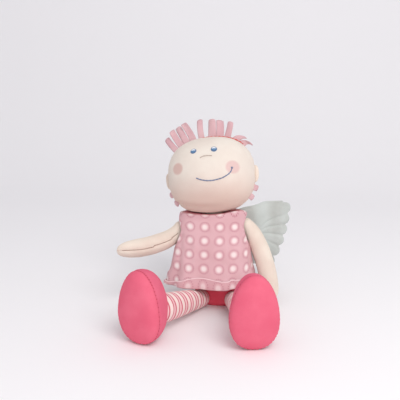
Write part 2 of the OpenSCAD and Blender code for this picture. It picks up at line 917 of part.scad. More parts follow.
module wing_patch() {
    color("#d4d8d5")
        translate([body_x - patch_w / 2, patch_y, patch_z - patch_h / 2])
            cube([patch_w, patch_t, patch_h]);
}

// Centre of scallop i along the slanting outer edge
function scallop_c(i) =
    let (s = (i + 0.5) / scallop_n)
    wing_place([
        mix(scallop_from_share[0], scallop_to_share[0], s * s),
        mix(scallop_from_share[1], scallop_to_share[1], s)
    ]);

function wing_place(share) = [wing_span * share[0], wing_h * share[1]];

module wing_shape() {
    r = wing_h / scallop_n * scallop_share;
    union() {
        polygon(concat(
            [[0, -wing_root_h]],
            [for (share = wing_top_shares) wing_place(share)],
            [for (i = [0 : scallop_n - 1]) scallop_c(i)],
            [wing_place(wing_heel_share)]
        ));
        for (i = [0 : scallop_n - 1])
            translate(scallop_c(i))
                circle(r = r, $fn = hinge_sides);
    }
}

module wing(side, sweep) {
    translate([body_x + side * wing_pitch, wing_y, wing_top_z])
        rotate([0, 0, side * sweep])
            mirror([side < 0 ? 1 : 0, 0, 0])
                union() {
                    translate([0, wing_t / 2, 0])
                        rotate([90, 0, 0])
                            linear_extrude(wing_t)
                                wing_shape();
                    translate([0, 0, -wing_root_h])
                        cylinder(d = wing_t, h = wing_root_h, $fn = hinge_sides);
                }
}

module wing_right() {
    color("#c4c6c2")
        wing(-1, wing_right_sweep);
}

module wing_left() {
    color("#d0d4d1")
        wing(1, wing_left_sweep);
}
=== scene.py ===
import bpy
import bmesh
import math
from mathutils import Matrix, Vector, noise


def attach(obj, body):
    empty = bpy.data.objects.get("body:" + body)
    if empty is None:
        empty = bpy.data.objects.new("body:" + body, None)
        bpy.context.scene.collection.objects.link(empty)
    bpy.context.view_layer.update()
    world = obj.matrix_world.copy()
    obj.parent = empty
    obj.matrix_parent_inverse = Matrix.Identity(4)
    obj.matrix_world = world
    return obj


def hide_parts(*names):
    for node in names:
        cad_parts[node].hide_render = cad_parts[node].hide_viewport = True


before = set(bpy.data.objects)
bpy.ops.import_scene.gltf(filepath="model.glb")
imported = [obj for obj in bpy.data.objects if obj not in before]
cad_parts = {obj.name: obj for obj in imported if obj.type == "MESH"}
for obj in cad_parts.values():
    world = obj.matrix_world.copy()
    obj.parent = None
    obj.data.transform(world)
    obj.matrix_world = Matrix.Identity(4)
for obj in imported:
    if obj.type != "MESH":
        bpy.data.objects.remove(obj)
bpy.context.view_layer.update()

MM = 0.001
CM = 10.0
MERGE = 2e-6
UP = Vector((0, 0, 1))
BACK = Vector((0, 1, 0))
scene = bpy.context.scene
rad = math.radians


# Sizes of the doll in millimetres, as in the part. Left and right are the doll's own, and it faces -Y.

SLUMP, RECLINE, TOP = 11.0, 12.0, 101.5
NECK_D, NECK_SHOWN = 22.0, 0.34
HEAD_W, HEAD_H, FACE_D, NAPE_D, HEAD_FULL, SEAM = 100.0, 87.0, 42.0, 43.0, 2.4, 0.96
HEAD_BACK, HEAD_RISE, HEAD_SLUMP = 5.0, 0.42, 0.2
HEAD_TURN, HEAD_TILT, HEAD_LOOK = -5, -7, -17
SHOULDER_OUT, SHOULDER_RIGHT_Z, SHOULDER_LEFT_Z = 38.0, 84.0, 89.0
DRESS_GAP, DRESS_T, YOKE_DROP = 0.15, 1.2, 3.6

NECK = Vector((-SLUMP, RECLINE, TOP + NECK_SHOWN * NECK_D))
HEAD = NECK + Vector((-SLUMP * HEAD_SLUMP, HEAD_BACK, HEAD_H * HEAD_RISE))
HEAD_M = (Matrix.Translation(HEAD) @ Matrix.Rotation(rad(HEAD_TURN), 4, "Z")
          @ Matrix.Rotation(rad(HEAD_TILT), 4, "Y") @ Matrix.Rotation(rad(HEAD_LOOK), 4, "X"))
SHOULDER_RIGHT = (-SLUMP - SHOULDER_OUT, RECLINE * SHOULDER_RIGHT_Z / TOP, SHOULDER_RIGHT_Z)
SHOULDER_LEFT = (-SLUMP + SHOULDER_OUT, RECLINE * SHOULDER_LEFT_Z / TOP, SHOULDER_LEFT_Z)
DRESS_TOP = TOP + DRESS_GAP + DRESS_T
DRESS_SIDE = DRESS_TOP - YOKE_DROP


# Small sums that the shapes share

def spow(v, p):
    """Power that keeps the sign."""
    return math.copysign(abs(v) ** p, v)


def mix(a, b, s):
    return a + (b - a) * s


def smooth(a, b, x):
    """Soft step from 0 at a to 1 at b."""
    t = min(1.0, max(0.0, (x - a) / (b - a)))
    return t * t * (3 - 2 * t)


def bell(x, w):
    return math.exp(-(x / w) ** 2)


def at(rows, s, c=1):
    """Column c of a table of shares, read at s."""
    if s <= rows[0][0]:
        return rows[0][c]
    for a, b in zip(rows, rows[1:]):
        if s <= b[0]:
            return mix(a[c], b[c], (s - a[0]) / (b[0] - a[0]))
    return rows[-1][c]


def heading(turn, climb):
    """Direction from its turn about the upright and its climb, in degrees."""
    t, c = rad(turn), rad(climb)
    return Vector((math.cos(c) * math.cos(t), math.cos(c) * math.sin(t), math.sin(c)))


def spokes(n):
    """Cosine and sine of n even steps round a circle."""
    return [(math.cos(2 * math.pi * j / n), math.sin(2 * math.pi * j / n)) for j in range(n)]


def ring(right, left, fore, aft, full, n):
    """Rounded-square ring that starts at the back, as (x, y, angle)."""
    out = []
    for j in range(n):
        a = math.pi / 2 + 2 * math.pi * j / n
        c, s = spow(math.cos(a), 2 / full), spow(math.sin(a), 2 / full)
        out.append((c * (left if c > 0 else right), s * (aft if s > 0 else fore), a))
    return out


# Meshes

def surface(m, n, point, uv):
    """Grid of m by n faces from functions that give each point and its UV."""
    bm = bmesh.new()
    lay = bm.loops.layers.uv.new("UVMap")
    v = [[bm.verts.new(Vector(point(i, j)) * MM) for j in range(n + 1)] for i in range(m + 1)]
    for i in range(m):
        for j in range(n):
            idx = [(i, j), (i, j + 1), (i + 1, j + 1), (i + 1, j)]
            f = bm.faces.new([v[a][b] for a, b in idx])
            f.smooth = True
            for loop, (a, b) in zip(f.loops, idx):
                loop[lay].uv = uv(a, b)
    return bm


def wrapped(rows, uv):
    """Surface through closed rings, joined where their ends meet and turned outward."""
    n = len(rows[0])
    bm = surface(len(rows) - 1, n, lambda i, j: rows[i][j % n], uv)
    bmesh.ops.remove_doubles(bm, verts=bm.verts, dist=MERGE)
    bmesh.ops.recalc_face_normals(bm, faces=bm.faces)
    return bm


def loft(rows, front=0):
    """Surface through closed rings, with its UV in centimetres round and along."""
    n = len(rows[0])
    us, vs = [], [0.0]
    for r in rows:
        u = [0.0]
        for j in range(n):
            u.append(u[-1] + (Vector(r[(j + 1) % n]) - Vector(r[j])).length)
        us.append([x - u[front] for x in u])
    for a, b in zip(rows, rows[1:]):
        vs.append(vs[-1] + sum((Vector(p) - Vector(q)).length for p, q in zip(a, b)) / n)
    return wrapped(rows, lambda i, j: (us[i][j] / CM, vs[i] / CM))


def point_ring(p, n):
    return [Vector(p)] * n


def middle(row):
    return sum(row, Vector()) / len(row)


def area_of(bm):
    return sum(f.calc_area() for f in bm.faces)


def piece(bm, name, mat, body, nodes=(), sub=0, solid=0.0, offset=-1.0):
    """Object on a body: solid is its cloth's thickness."""
    me = bpy.data.meshes.new(name)
    bm.to_mesh(me)
    bm.free()
    me.materials.append(mat)
    o = bpy.data.objects.new(name, me)
    scene.collection.objects.link(o)
    if solid:
        mod = o.modifiers.new("Thickness", "SOLIDIFY")
        mod.thickness = solid * MM
        mod.offset = offset
    if sub:
        mod = o.modifiers.new("Round", "SUBSURF")
        mod.levels = mod.render_levels = sub
    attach(o, body)
    for n in nodes:
        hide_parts(n)
    return o


def tube_rows(points, radii, sides, up=UP):
    """Rings of a round tube along points, closed at both ends."""
    rows = []
    last = len(points) - 1
    for i, p in enumerate(points):
        way = (Vector(points[min(i + 1, last)]) - Vector(points[max(i - 1, 0)])).normalized()
        x = way.cross(up)
        x = x.normalized() if x.length > 1e-4 else way.orthogonal().normalized()
        y = way.cross(x)
        rows.append([Vector(p) + (x * c + y * s) * radii[i] for c, s in spokes(sides)])
    return [point_ring(points[0], sides)] + rows + [point_ring(points[last], sides)]


def join(bms):
    """One mesh from several, with their UV."""
    out = bmesh.new()
    lay = out.loops.layers.uv.new("UVMap")
    for b in bms:
        src = b.loops.layers.uv.active
        new = {v: out.verts.new(v.co) for v in b.verts}
        for f in b.faces:
            g = out.faces.new([new[v] for v in f.verts])
            g.smooth = True
            for a, c in zip(f.loops, g.loops):
                c[lay].uv = a[src].uv
        b.free()
    return out


# Shader sums

def srgb(r, g, b):
    def lin(c):
        c /= 255
        return c / 12.92 if c <= 0.04045 else ((c + 0.055) / 1.055) ** 2.4
    return (lin(r), lin(g), lin(b), 1.0)


def put(nt, socket, value):
    if isinstance(value, bpy.types.NodeSocket):
        nt.links.new(value, socket)
    else:
        socket.default_value = value


def calc(nt, op, a, b=0.0, c=0.0):
    n = nt.nodes.new("ShaderNodeMath")
    n.operation = op
    for s, v in zip(n.inputs, (a, b, c)):
        put(nt, s, v)
    return n.outputs[0]


def times(nt, a, b):
    return calc(nt, "MULTIPLY", a, b)


def step(nt, x, lo, hi):
    """0 below lo, 1 above hi."""
    n = nt.nodes.new("ShaderNodeMapRange")
    n.interpolation_type = "SMOOTHSTEP"
    put(nt, n.inputs[0], x)
    n.inputs[1].default_value = lo
    n.inputs[2].default_value = hi
    return n.outputs[0]


def fade(nt, x, lo, hi):
    """1 below lo, 0 above hi."""
    return calc(nt, "SUBTRACT", 1.0, step(nt, x, lo, hi))


def away(nt, x, c):
    """Distance of x from c."""
    return calc(nt, "ABSOLUTE", calc(nt, "SUBTRACT", x, c))


def radius(nt, x, y):
    return calc(nt, "SQRT", calc(nt, "ADD", times(nt, x, x), times(nt, y, y)))


def blend_colour(nt, f, a, b):
    n = nt.nodes.new("ShaderNodeMix")
    n.data_type = "RGBA"
    put(nt, n.inputs[0], f)
    put(nt, n.inputs[6], a)
    put(nt, n.inputs[7], b)
    return n.outputs[2]


def uv_mm(nt):
    """UV as a vector in centimetres, and its two sides in millimetres."""
    uv = nt.nodes.new("ShaderNodeUVMap")
    uv.uv_map = "UVMap"
    sep = nt.nodes.new("ShaderNodeSeparateXYZ")
    nt.links.new(uv.outputs[0], sep.inputs[0])
    return uv.outputs[0], times(nt, sep.outputs[0], CM), times(nt, sep.outputs[1], CM)


def wave(nt, vec, way, pitch, wobble):
    n = nt.nodes.new("ShaderNodeTexWave")
    n.bands_direction = way
    nt.links.new(vec, n.inputs["Vector"])
    n.inputs["Scale"].default_value = 3.14 / pitch
    n.inputs["Distortion"].default_value = wobble
    n.inputs["Detail"].default_value = 1.0
    return n.outputs["Fac"]


def grain(nt, vec, scale, detail):
    n = nt.nodes.new("ShaderNodeTexNoise")
    nt.links.new(vec, n.inputs["Vector"])
    n.inputs["Scale"].default_value = scale
    n.inputs["Detail"].default_value = detail
    return n.outputs["Fac"]


# Cloth and what is printed on it, with some painted shade; the prints take UV in millimetres

CLOUD_SCALE, FUZZ_SCALE, WEAVE_DEPTH = 45.0, 1400.0, 0.0006


def cloth(name, light, dark, pitch=0.7, rough=0.9, sheen=0.3, bump=0.25, fuzz=0.5, print_and_shade=None, knit=False):
    """Cotton, felt, knit or thread: woven relief in UV, soft cloudy shade, fuzz and sheen."""
    m = bpy.data.materials.new(name)
    m.use_nodes = True
    nt = m.node_tree
    b = nt.nodes["Principled BSDF"]
    vec, u, v = uv_mm(nt)
    geo = nt.nodes.new("ShaderNodeTexCoord")
    cloud = grain(nt, geo.outputs["Object"], CLOUD_SCALE, 4.0)
    fine = grain(nt, geo.outputs["Object"], FUZZ_SCALE, 2.0)
    warp = wave(nt, vec, "X", pitch, 0.6)
    weft = wave(nt, vec, "Y", pitch * (1.4 if knit else 1.0), 2.2 if knit else 0.6)
    weave = calc(nt, "ADD", times(nt, warp, 0.5), times(nt, weft, 0.5))
    colour = blend_colour(nt, step(nt, cloud, 0.3, 0.72), srgb(*dark), srgb(*light))
    if print_and_shade:
        colour = print_and_shade(nt, u, v, colour)
    tone = calc(nt, "MULTIPLY_ADD", calc(nt, "ADD", weave, times(nt, fine, fuzz)), 0.07, 0.93)
    shade = nt.nodes.new("ShaderNodeMix")
    shade.data_type = "RGBA"
    shade.blend_type = "MULTIPLY"
    shade.inputs[0].default_value = 1.0
    nt.links.new(colour, shade.inputs[6])
    nt.links.new(tone, shade.inputs[7])
    nt.links.new(shade.outputs[2], b.inputs["Base Color"])
    relief = nt.nodes.new("ShaderNodeBump")
    relief.inputs["Strength"].default_value = bump
    relief.inputs["Distance"].default_value = WEAVE_DEPTH
    nt.links.new(calc(nt, "ADD", weave, times(nt, fine, fuzz * 2)), relief.inputs["Height"])
    nt.links.new(relief.outputs[0], b.inputs["Normal"])
    nt.links.new(calc(nt, "MULTIPLY_ADD", cloud, 0.12, rough - 0.06), b.inputs["Roughness"])
    b.inputs["Specular IOR Level"].default_value = 0.25
    b.inputs["Sheen Weight"].default_value = sheen
    b.inputs["Sheen Roughness"].default_value = 0.5
    b.inputs["Sheen Tint"].default_value = srgb(*light)
    return m


DOT_PITCH_U, DOT_PITCH_V, DOT_SHIFT = 17.0, 16.2, 0.985
DOT_CORE, DOT_EDGE, DOT_RING, DOT_SPECKS = 1.5, 4.3, 5.5, 16


def dots(strength, phase=0.55):
    """Soft white dots in a square grid, each in a ring of small specks."""
    def paint(nt, u, v, colour):
        def cell(x, pitch, shift):
            f = calc(nt, "FRACT", calc(nt, "ADD", calc(nt, "DIVIDE", x, pitch), shift))
            return times(nt, calc(nt, "SUBTRACT", f, 0.5), pitch)
        x, y = cell(u, DOT_PITCH_U, DOT_SHIFT), cell(v, DOT_PITCH_V, phase)
        r = radius(nt, x, y)
        dot = fade(nt, r, DOT_CORE, DOT_EDGE)
        band = fade(nt, away(nt, r, DOT_RING), 0.35, 1.1)
        turn = times(nt, calc(nt, "ARCTAN2", y, x), DOT_SPECKS / (2 * math.pi))
        speck = step(nt, away(nt, calc(nt, "FRACT", turn), 0.5), 0.22, 0.34)
        halo = fade(nt, r, 3.0, 5.6)
        colour = blend_colour(nt, times(nt, halo, 0.15 * strength), colour, srgb(240, 208, 211))
        colour = blend_colour(nt, times(nt, times(nt, band, speck), 0.85 * strength), colour, srgb(176, 92, 110))
        return blend_colour(nt, times(nt, dot, strength), colour, srgb(245, 233, 230))
    return paint


def dress_dots_and_neck_shade(nt, u, v, colour):
    """Dots, and painted shade: a deeper pink close to the neck opening, under the chin."""
    colour = dots(0.85)(nt, u, v, colour)
    # Painted shade under the chin: deeper pink near the neck opening.
    return blend_colour(nt, times(nt, fade(nt, v, 12.0, 17.5), 0.85), colour, srgb(206, 96, 108))


def cuff_print(nt, u, v, colour):
    """Paler dots, and a pale folded edge along the top."""
    colour = dots(0.5, 0.05)(nt, u, v, colour)
    return blend_colour(nt, fade(nt, v, 0.7, 1.3), colour, srgb(252, 226, 228))


STRIPE_PITCH = 11.4


def stripes(nt, u, v, colour):
    """Pairs of thin dark-pink lines across the leg, with a paler pink band between."""
    f = calc(nt, "FRACT", calc(nt, "DIVIDE", v, STRIPE_PITCH))
    d = times(nt, away(nt, f, 0.5), STRIPE_PITCH)
    band = fade(nt, d, 2.0, 2.6)
    line = fade(nt, away(nt, d, 2.4), 0.6, 1.1)
    colour = blend_colour(nt, times(nt, band, 0.8), colour, srgb(246, 196, 202))
    return blend_colour(nt, times(nt, line, 0.9), colour, srgb(204, 62, 94))


# Each cheek: place across and up the face, radius, tint and strength
CHEEKS = ((-32.0, 5.9, 7.0, (206, 158, 150), 0.62), (29.1, 1.9, 7.8, (216, 170, 170), 0.6))


def face_blush_and_chin_shade(nt, u, v, colour):
    """Blushed cheeks, and painted shade that darkens the lower face towards the chin, on the face whose UV is its
    own width and height.
    """
    for x, z, r, tint, strength in CHEEKS:
        d = radius(nt, calc(nt, "SUBTRACT", u, x), calc(nt, "SUBTRACT", v, z))
        colour = blend_colour(nt, times(nt, fade(nt, d, r - 2.2, r + 0.8), strength), colour, srgb(*tint))
    # Painted shade: the lower face turns darker and warmer towards the chin.
    return blend_colour(nt, times(nt, fade(nt, v, -40.0, 6.0), 0.75), colour, srgb(214, 182, 168))


def iris(nt, u, v, colour):
    """Eye in satin stitch: blue below, white above, a thin dark rim."""
    colour = blend_colour(nt, step(nt, v, -0.1, 0.5), colour, srgb(240, 243, 248))
    rim = times(nt, step(nt, radius(nt, u, v), 2.1, 2.5), 0.85)
    return blend_colour(nt, rim, colour, srgb(96, 118, 154))


# Light and dark side of each cloth, then thread pitch, roughness, sheen, relief, fuzz, and print with any painted
# shade
M_FACE = cloth("face_jersey", (232, 223, 212), (227, 215, 204), 0.6, 0.92, 0.25, 0.16, 0.5, face_blush_and_chin_shade)
M_SKIN = cloth("skin_jersey", (236, 224, 210), (228, 212, 198), 0.6, 0.92, 0.25, 0.2)
M_HAIR = cloth("hair_felt", (220, 184, 187), (211, 169, 174), 0.5, 0.95, 0.4, 0.3, 1.2)
M_EYE = cloth("eye_thread", (104, 146, 182), (90, 128, 166), 0.45, 0.6, 0.2, 0.4, 0.2, iris)
M_NOSE = cloth("nose_thread", (198, 180, 168), (186, 166, 154), 0.5, 0.7, 0.2, 0.4, 0.2)
M_MOUTH = cloth("mouth_thread", (132, 142, 168), (116, 126, 154), 0.5, 0.7, 0.2, 0.4, 0.2)
M_DRESS = cloth("dress_cotton", (223, 182, 187), (215, 171, 176), 0.6, 0.9, 0.2, 0.2, 0.4, dress_dots_and_neck_shade)
M_BINDING = cloth("binding_cotton", (206, 112, 124), (192, 98, 110), 0.6, 0.9, 0.2, 0.2, 0.4)
M_CUFF = cloth("cuff_cotton", (216, 170, 175), (207, 158, 164), 0.6, 0.9, 0.2, 0.2, 0.4, cuff_print)
M_PANTS = cloth("pants_cotton", (244, 96, 116), (230, 78, 98), 0.6, 0.9, 0.2, 0.25)
M_LEG = cloth("striped_knit", (251, 236, 230), (246, 226, 220), 0.9, 0.92, 0.2, 0.35, 0.4, stripes, True)
M_SHOE = cloth("shoe_cotton", (224, 109, 133), (217, 97, 123), 0.6, 0.88, 0.45, 0.2, 0.8)
M_SOLE = cloth("sole_cotton", (231, 110, 133), (225, 98, 123), 0.6, 0.88, 0.45, 0.2, 0.8)
M_WING = cloth("wing_satin", (200, 206, 202), (188, 193, 188), 0.5, 0.6, 0.35, 0.12, 0.4)
M_STITCH = cloth("stitch_thread", (222, 196, 186), (206, 176, 166), 0.4, 0.75, 0.2, 0.3, 0.2)
M_ROOT = cloth("root_line", (224, 122, 112), (206, 96, 90), 0.4, 0.85, 0.1, 0.3, 0.3)
# Dark brown of the arm seams: painted shade in the seam groove.
M_SEAM_SHADE = cloth("seam_groove_shade", (152, 116, 98), (138, 102, 84), 0.4, 0.8, 0.1, 0.3, 0.2)
M_SHOE_STITCH = cloth("shoe_stitch_thread", (206, 66, 94), (190, 54, 82), 0.4, 0.75, 0.2, 0.3, 0.2)


# Head: two stuffed halves sewn together, with puckers along the seam and a soft fold over the chin

FOLD_LINE = ((-42.0, -28.3), (-24.0, -35.0), (-12.4, -37.3), (12.0, -39.2))
HEAD_COLS, HEAD_ROWS, HEAD_PUCKERS = 112, 26, 31
CHIN_Z, CHIN_SOFT, CHIN_TOP = 104.9, 1.2, 125.0


def fold_distance(x, z):
    """Distance on the face from the soft fold."""
    best = 1e9
    for a, b in zip(FOLD_LINE, FOLD_LINE[1:]):
        p, q, w = Vector((x, z)), Vector(a), Vector(b) - Vector(a)
        t = min(1.0, max(0.0, (p - q).dot(w) / w.dot(w)))
        best = min(best, (p - q - w * t).length)
    return best


def head_half(depth, side):
    """Face half with side -1, back half with side 1. Its underside is pressed flat over the neck."""
    rows, flat = [], []
    turns = [(0.95, 0.12), (0.984, 0.25), (0.996, 0.7)]
    for k in range(HEAD_ROWS + 1):
        a = rad(2.2 + 87.8 * (k / HEAD_ROWS))
        turns.append((math.cos(a), SEAM / 2 + depth * math.sin(a)))
    for k, y in turns:
        row, place = [], []
        for j in range(HEAD_COLS):
            a = 2 * math.pi * j / HEAD_COLS
            x = spow(math.cos(a), 2 / HEAD_FULL) * HEAD_W / 2 * k
            z = spow(math.sin(a), 2 / HEAD_FULL) * HEAD_H / 2 * k
            uneven = 2.5 * noise.noise(Vector((3 * math.cos(a), 3 * math.sin(a), side)))
            pucker = math.sin(HEAD_PUCKERS * a + uneven)
            f = 1.0 + bell(y - 3.0, 5.0) * (0.006 * pucker - 0.004) * min(1.0, y)
            soft = noise.noise(Vector((x, y * side, z)) * 0.035) * 0.7
            fold = 0.0
            if side < 0:
                d = fold_distance(x, z)
                fold = -1.3 * bell(d, 1.8) + 0.7 * bell(d - 4.5, 3.0)
                fold *= smooth(14, -6, x) * smooth(-48, -38, x)
            p = Vector((x * f, side * y, z * f))
            out = Vector((x / (HEAD_W / 2) ** 2, side * y / depth ** 2, z / (HEAD_H / 2) ** 2))
            out = out.normalized() if out.length else Vector((0, side, 0))
            q = HEAD_M @ (p + out * (soft * smooth(2, 14, y) + 0.3 + fold))
            if q.z < CHIN_TOP:
                q.z = CHIN_Z + CHIN_SOFT * math.log1p(math.exp((q.z - CHIN_Z) / CHIN_SOFT))
            row.append(q)
            place.append((x / CM, z / CM))
        rows.append(row)
        flat.append(place)
    return wrapped(rows, lambda i, j: flat[i][j % HEAD_COLS])


def face_at(x, z, lift=0.0):
    """Point of the face, in the head's own frame."""
    q = (abs(2 * x / HEAD_W) ** HEAD_FULL + abs(2 * z / HEAD_H) ** HEAD_FULL) ** (2 / HEAD_FULL)
    p = Vector((x, -SEAM / 2 - FACE_D * math.sqrt(max(0.0, 1 - q)), z))
    return p if not lift else p + face_out(x, z) * lift


def face_out(x, z):
    """Outward direction of the face."""
    across = face_at(x + 0.5, z) - face_at(x - 0.5, z)
    return across.cross(face_at(x, z + 0.5) - face_at(x, z - 0.5)).normalized()


piece(head_half(FACE_D, -1), "head_front_soft", M_FACE, "head", ["head_front"])
piece(head_half(NAPE_D, 1), "head_back_soft", M_SKIN, "head", ["head_back"])


# Embroidered face: places across and up from the middle of the head

EYE_R, EYE_H, EYE_Z, EYE_RIGHT_X, EYE_LEFT_X = 3.45, 1.0, 23.4, -12.8, 10.2
EYE_COLS, EYE_ROWS = 28, 8
NOSE_X, NOSE_Z, NOSE_W = 1.6, 16.2, 13.3
MOUTH_X, MOUTH_Z, MOUTH_W, MOUTH_H = 8.7, -11.4, 38.0, 13.3


def eye(name, x, z, node):
    """Domed patch of satin stitch, whose UV is its own width and height."""
    v = face_out(x, z)
    ex = UP.cross(v).normalized()
    ez = v.cross(ex)
    c = face_at(x, z, 0.3)
    rows, flat = [], []
    for k in range(EYE_ROWS + 1):
        a = rad(90 * k / EYE_ROWS)
        r, h = EYE_R * math.cos(a), EYE_H * math.sin(a) - (0.4 if k == 0 else 0)
        rows.append([HEAD_M @ (c + ex * r * u + ez * r * w + v * h) for u, w in spokes(EYE_COLS)])
        flat.append([(r * u / CM, r * w / CM) for u, w in spokes(EYE_COLS)])
    bm = wrapped(rows, lambda i, j: flat[i][j % EYE_COLS])
    piece(bm, name, M_EYE, "head", [node])


def stitched_line(places, r, stitch, end=0.0):
    """Thread line on the face, drawn in at each stitch, with an optional knot at its last end."""
    pts = [HEAD_M @ face_at(x, z, 0.55) for x, z in places]
    run, total = [0.0], 0.0
    for a, b in zip(pts, pts[1:]):
        total += (b - a).length
        run.append(total)
    radii = [r * (0.72 + 0.34 * abs(math.sin(math.pi * s / stitch))) for s in run]
    for i, s in enumerate(run):
        if end and total - s < end * 1.2:
            radii[i] = max(radii[i], math.sqrt(max(0.05, end ** 2 - (total - s - end * 0.5) ** 2)))
    return loft(tube_rows(pts, radii, 10, HEAD_M.to_3x3() @ -BACK))


def curve(places, steps):
    """Smooth line through places."""
    out = []
    last = len(places) - 1
    for i in range(last):
        a, b, c, d = (Vector(places[min(last, max(0, i + k))]) for k in (-1, 0, 1, 2))
        for t in (k / steps for k in range(steps)):
            out.append(b + (c - a) * 0.5 * t + (a - b * 2.5 + c * 2 - d * 0.5) * t * t
                       + (b * 1.5 - a * 0.5 - c * 1.5 + d * 0.5) * t ** 3)
    return [tuple(p) for p in out] + [places[-1]]


eye("eye_right_stitched", EYE_RIGHT_X, EYE_Z, "eye_right")
eye("eye_left_stitched", EYE_LEFT_X, EYE_Z, "eye_left")
nose = curve([(NOSE_X + NOSE_W * x, NOSE_Z + NOSE_W * z) for x, z in
              ((-0.5, -0.13), (-0.25, -0.02), (0, 0), (0.25, -0.01), (0.5, -0.045))], 12)
mouth = curve([(MOUTH_X + MOUTH_W * x, MOUTH_H * z + MOUTH_Z) for x, z in
               ((-0.505, 0.308), (-0.371, 0.135), (-0.208, 0.023), (-0.058, 0), (0.079, 0.045),
                (0.216, 0.135), (0.332, 0.29), (0.418, 0.447), (0.49, 0.7), (0.52, 1))], 14)
piece(stitched_line(nose, 0.36, 3.4), "nose_stitched", M_NOSE, "head", ["nose"])
piece(stitched_line(mouth, 0.66, 3.6, 1.3), "mouth_stitched", M_MOUTH, "head", ["mouth"])


# Hair: felt strips that stand in the head seam, by their angle round the seam from the doll's left

STRIP_ROOT, STRIP_ROWS, STRIP_COLS, STRIP_APART, FELT_T = 4.0, 12, 6, 11, 0.9
# Angle, lean, bend, length, width, curl and twist of each strip, from the doll's right to its left
STRIPS = ((140.5, -5, 0.18, 21.4, 7.4, 1.2, 8),
          (131.9, -6, -0.12, 23, 7.6, -1.0, -10),
          (123.4, 0, 0.1, 23.8, 8.0, 1.4, 8),
          (113.8, 7, -0.14, 23.8, 8.2, -1.0, 12),
          (101.3, -4, 0.2, 24.4, 7.2, 0.8, -6),
          (85.2, -1, -0.15, 21.4, 9.4, 1.8, 12),
          (74.2, 8, 0.22, 21.4, 9.2, -2.0, -12),
          (63.1, 3, -0.12, 19.4, 7.4, 1.2, 8),
          (51.1, -38, 0.15, 11, 9.0, -1.0, 12),
          (41.0, -48, -0.2, 9.9, 8.6, 1.0, -8))
TUFT_RIGHT_AT, TUFT_LEFT_AT, TUFT_STEP, TUFT_LEN, TUFT_W = 213, -33, 12, 4.2, 7.0
ROOT_FROM, ROOT_SPAN = 100, 62


def seam_at(angle):
    """Point of the head seam and its outward direction, in the head's own frame."""
    a = rad(angle)
    x, z = abs(2 * math.cos(a) / HEAD_W) ** HEAD_FULL, abs(2 * math.sin(a) / HEAD_H) ** HEAD_FULL
    p = (x + z) ** (-1 / HEAD_FULL) * Vector((math.cos(a), 0, math.sin(a)))
    return p, Vector((p.x / HEAD_W ** 2, 0, p.z / HEAD_H ** 2)).normalized()


def strip(seed, angle, lean, bend, length, width, curl, twist):
    """One felt strip, whose first two rows lie inside the seam."""
    p, q = seam_at(angle)
    across = Vector((-q.z, 0, q.x))
    rows = []
    for i in range(STRIP_ROWS + 1):
        s = max(0.0, (i - 2) / (STRIP_ROWS - 2))
        lift = STRIP_ROOT * (i / 2 - 1) if i < 2 else length * s * math.cos(rad(lean * s))
        slide = length * s * math.sin(rad(lean * s))
        wob = 0.8 * s * noise.noise(Vector((seed * 3.1, s * 2.2, 0.4)))
        c = p + q * lift + across * slide + BACK * (bend * length * s * s + wob)
        t = rad(twist * s)
        side = across * math.cos(t) + BACK * math.sin(t)
        w = width / 2 * (1 - 0.1 * s) * (1 - 0.05 * smooth(0.95, 1.0, s))
        row = []
        for j in range(STRIP_COLS + 1):
            e = 2 * j / STRIP_COLS - 1
            row.append(HEAD_M @ (c + side * w * e + BACK * (curl * (e * e - 0.4) * s) - q * 0.9 * e * e * s * s))
        rows.append(row)
    return surface(STRIP_ROWS, STRIP_COLS, lambda i, j: rows[i][j],
                   lambda i, j: ((seed * STRIP_APART + j * width / STRIP_COLS) / CM,
                                 i * length / (STRIP_ROWS - 1) / CM))


hair = join([strip(i, *sizes) for i, sizes in enumerate(STRIPS)])
hair_area = area_of(hair)
o = piece(hair, "hair_fringe_felt", M_HAIR, "head", ["hair_fringe"], solid=FELT_T, offset=0.0)
for name, side, start in (("tuft_right", -1, TUFT_RIGHT_AT), ("tuft_left", 1, TUFT_LEFT_AT)):
    tuft = join([strip(20 + i, start + side * TUFT_STEP * i, side * (12 * i - 6), 0.9 + 0.2 * i,
                       TUFT_LEN, TUFT_W, 0.8, 6 - 12 * i) for i in range(2)])
    tuft_area = area_of(tuft)
    o = piece(tuft, name + "_felt", M_HAIR, "head", [name], solid=FELT_T, offset=0.0)

# Red-orange tube along the seam over the crown, at the roots of the hair.
root = [HEAD_M @ sum(seam_at(ROOT_FROM - a), Vector()) for a in range(0, ROOT_SPAN, 2)]
root_radii = [0.85 + 0.3 * math.sin(i * 2.1) for i in range(len(root))]
piece(loft(tube_rows(root, root_radii, 8)), "hair_root_line", M_ROOT, "head")


# Ears: flat padded half rounds sewn into the same seam

EAR_H, EAR_T, EAR_OUT, EAR_ROOT = 9.7, 1.7, 4.2, 2.6
EAR_RIGHT_AT, EAR_LEFT_AT, EAR_COLS, EAR_ROWS = 183, -3, 26, 14


def ear(angle):
    p, q = seam_at(angle)
    across = Vector((-q.z, 0, q.x))
    rows = []
    for i in range(EAR_ROWS + 1):
        s = -0.35 + 1.35 * i / EAR_ROWS
        h = EAR_H * math.sqrt(max(0.0, 1 - max(0.0, s) ** 2.4))
        t = EAR_T * math.sqrt(max(0.0, 1 - max(0.0, s) ** 4)) * (0.55 + 0.45 * smooth(-0.2, 0.35, s))
        rows.append([HEAD_M @ (p + q * EAR_OUT * s + across * spow(u, 0.9) * h + BACK * spow(w, 0.8) * t)
                     for u, w in spokes(EAR_COLS)])
    return loft([point_ring(HEAD_M @ (p - q * EAR_ROOT), EAR_COLS)] + rows)


for name, angle in (("ear_right", EAR_RIGHT_AT), ("ear_left", EAR_LEFT_AT)):
    piece(ear(angle), name + "_soft", M_SKIN, "head", [name])


# Neck, body and pants

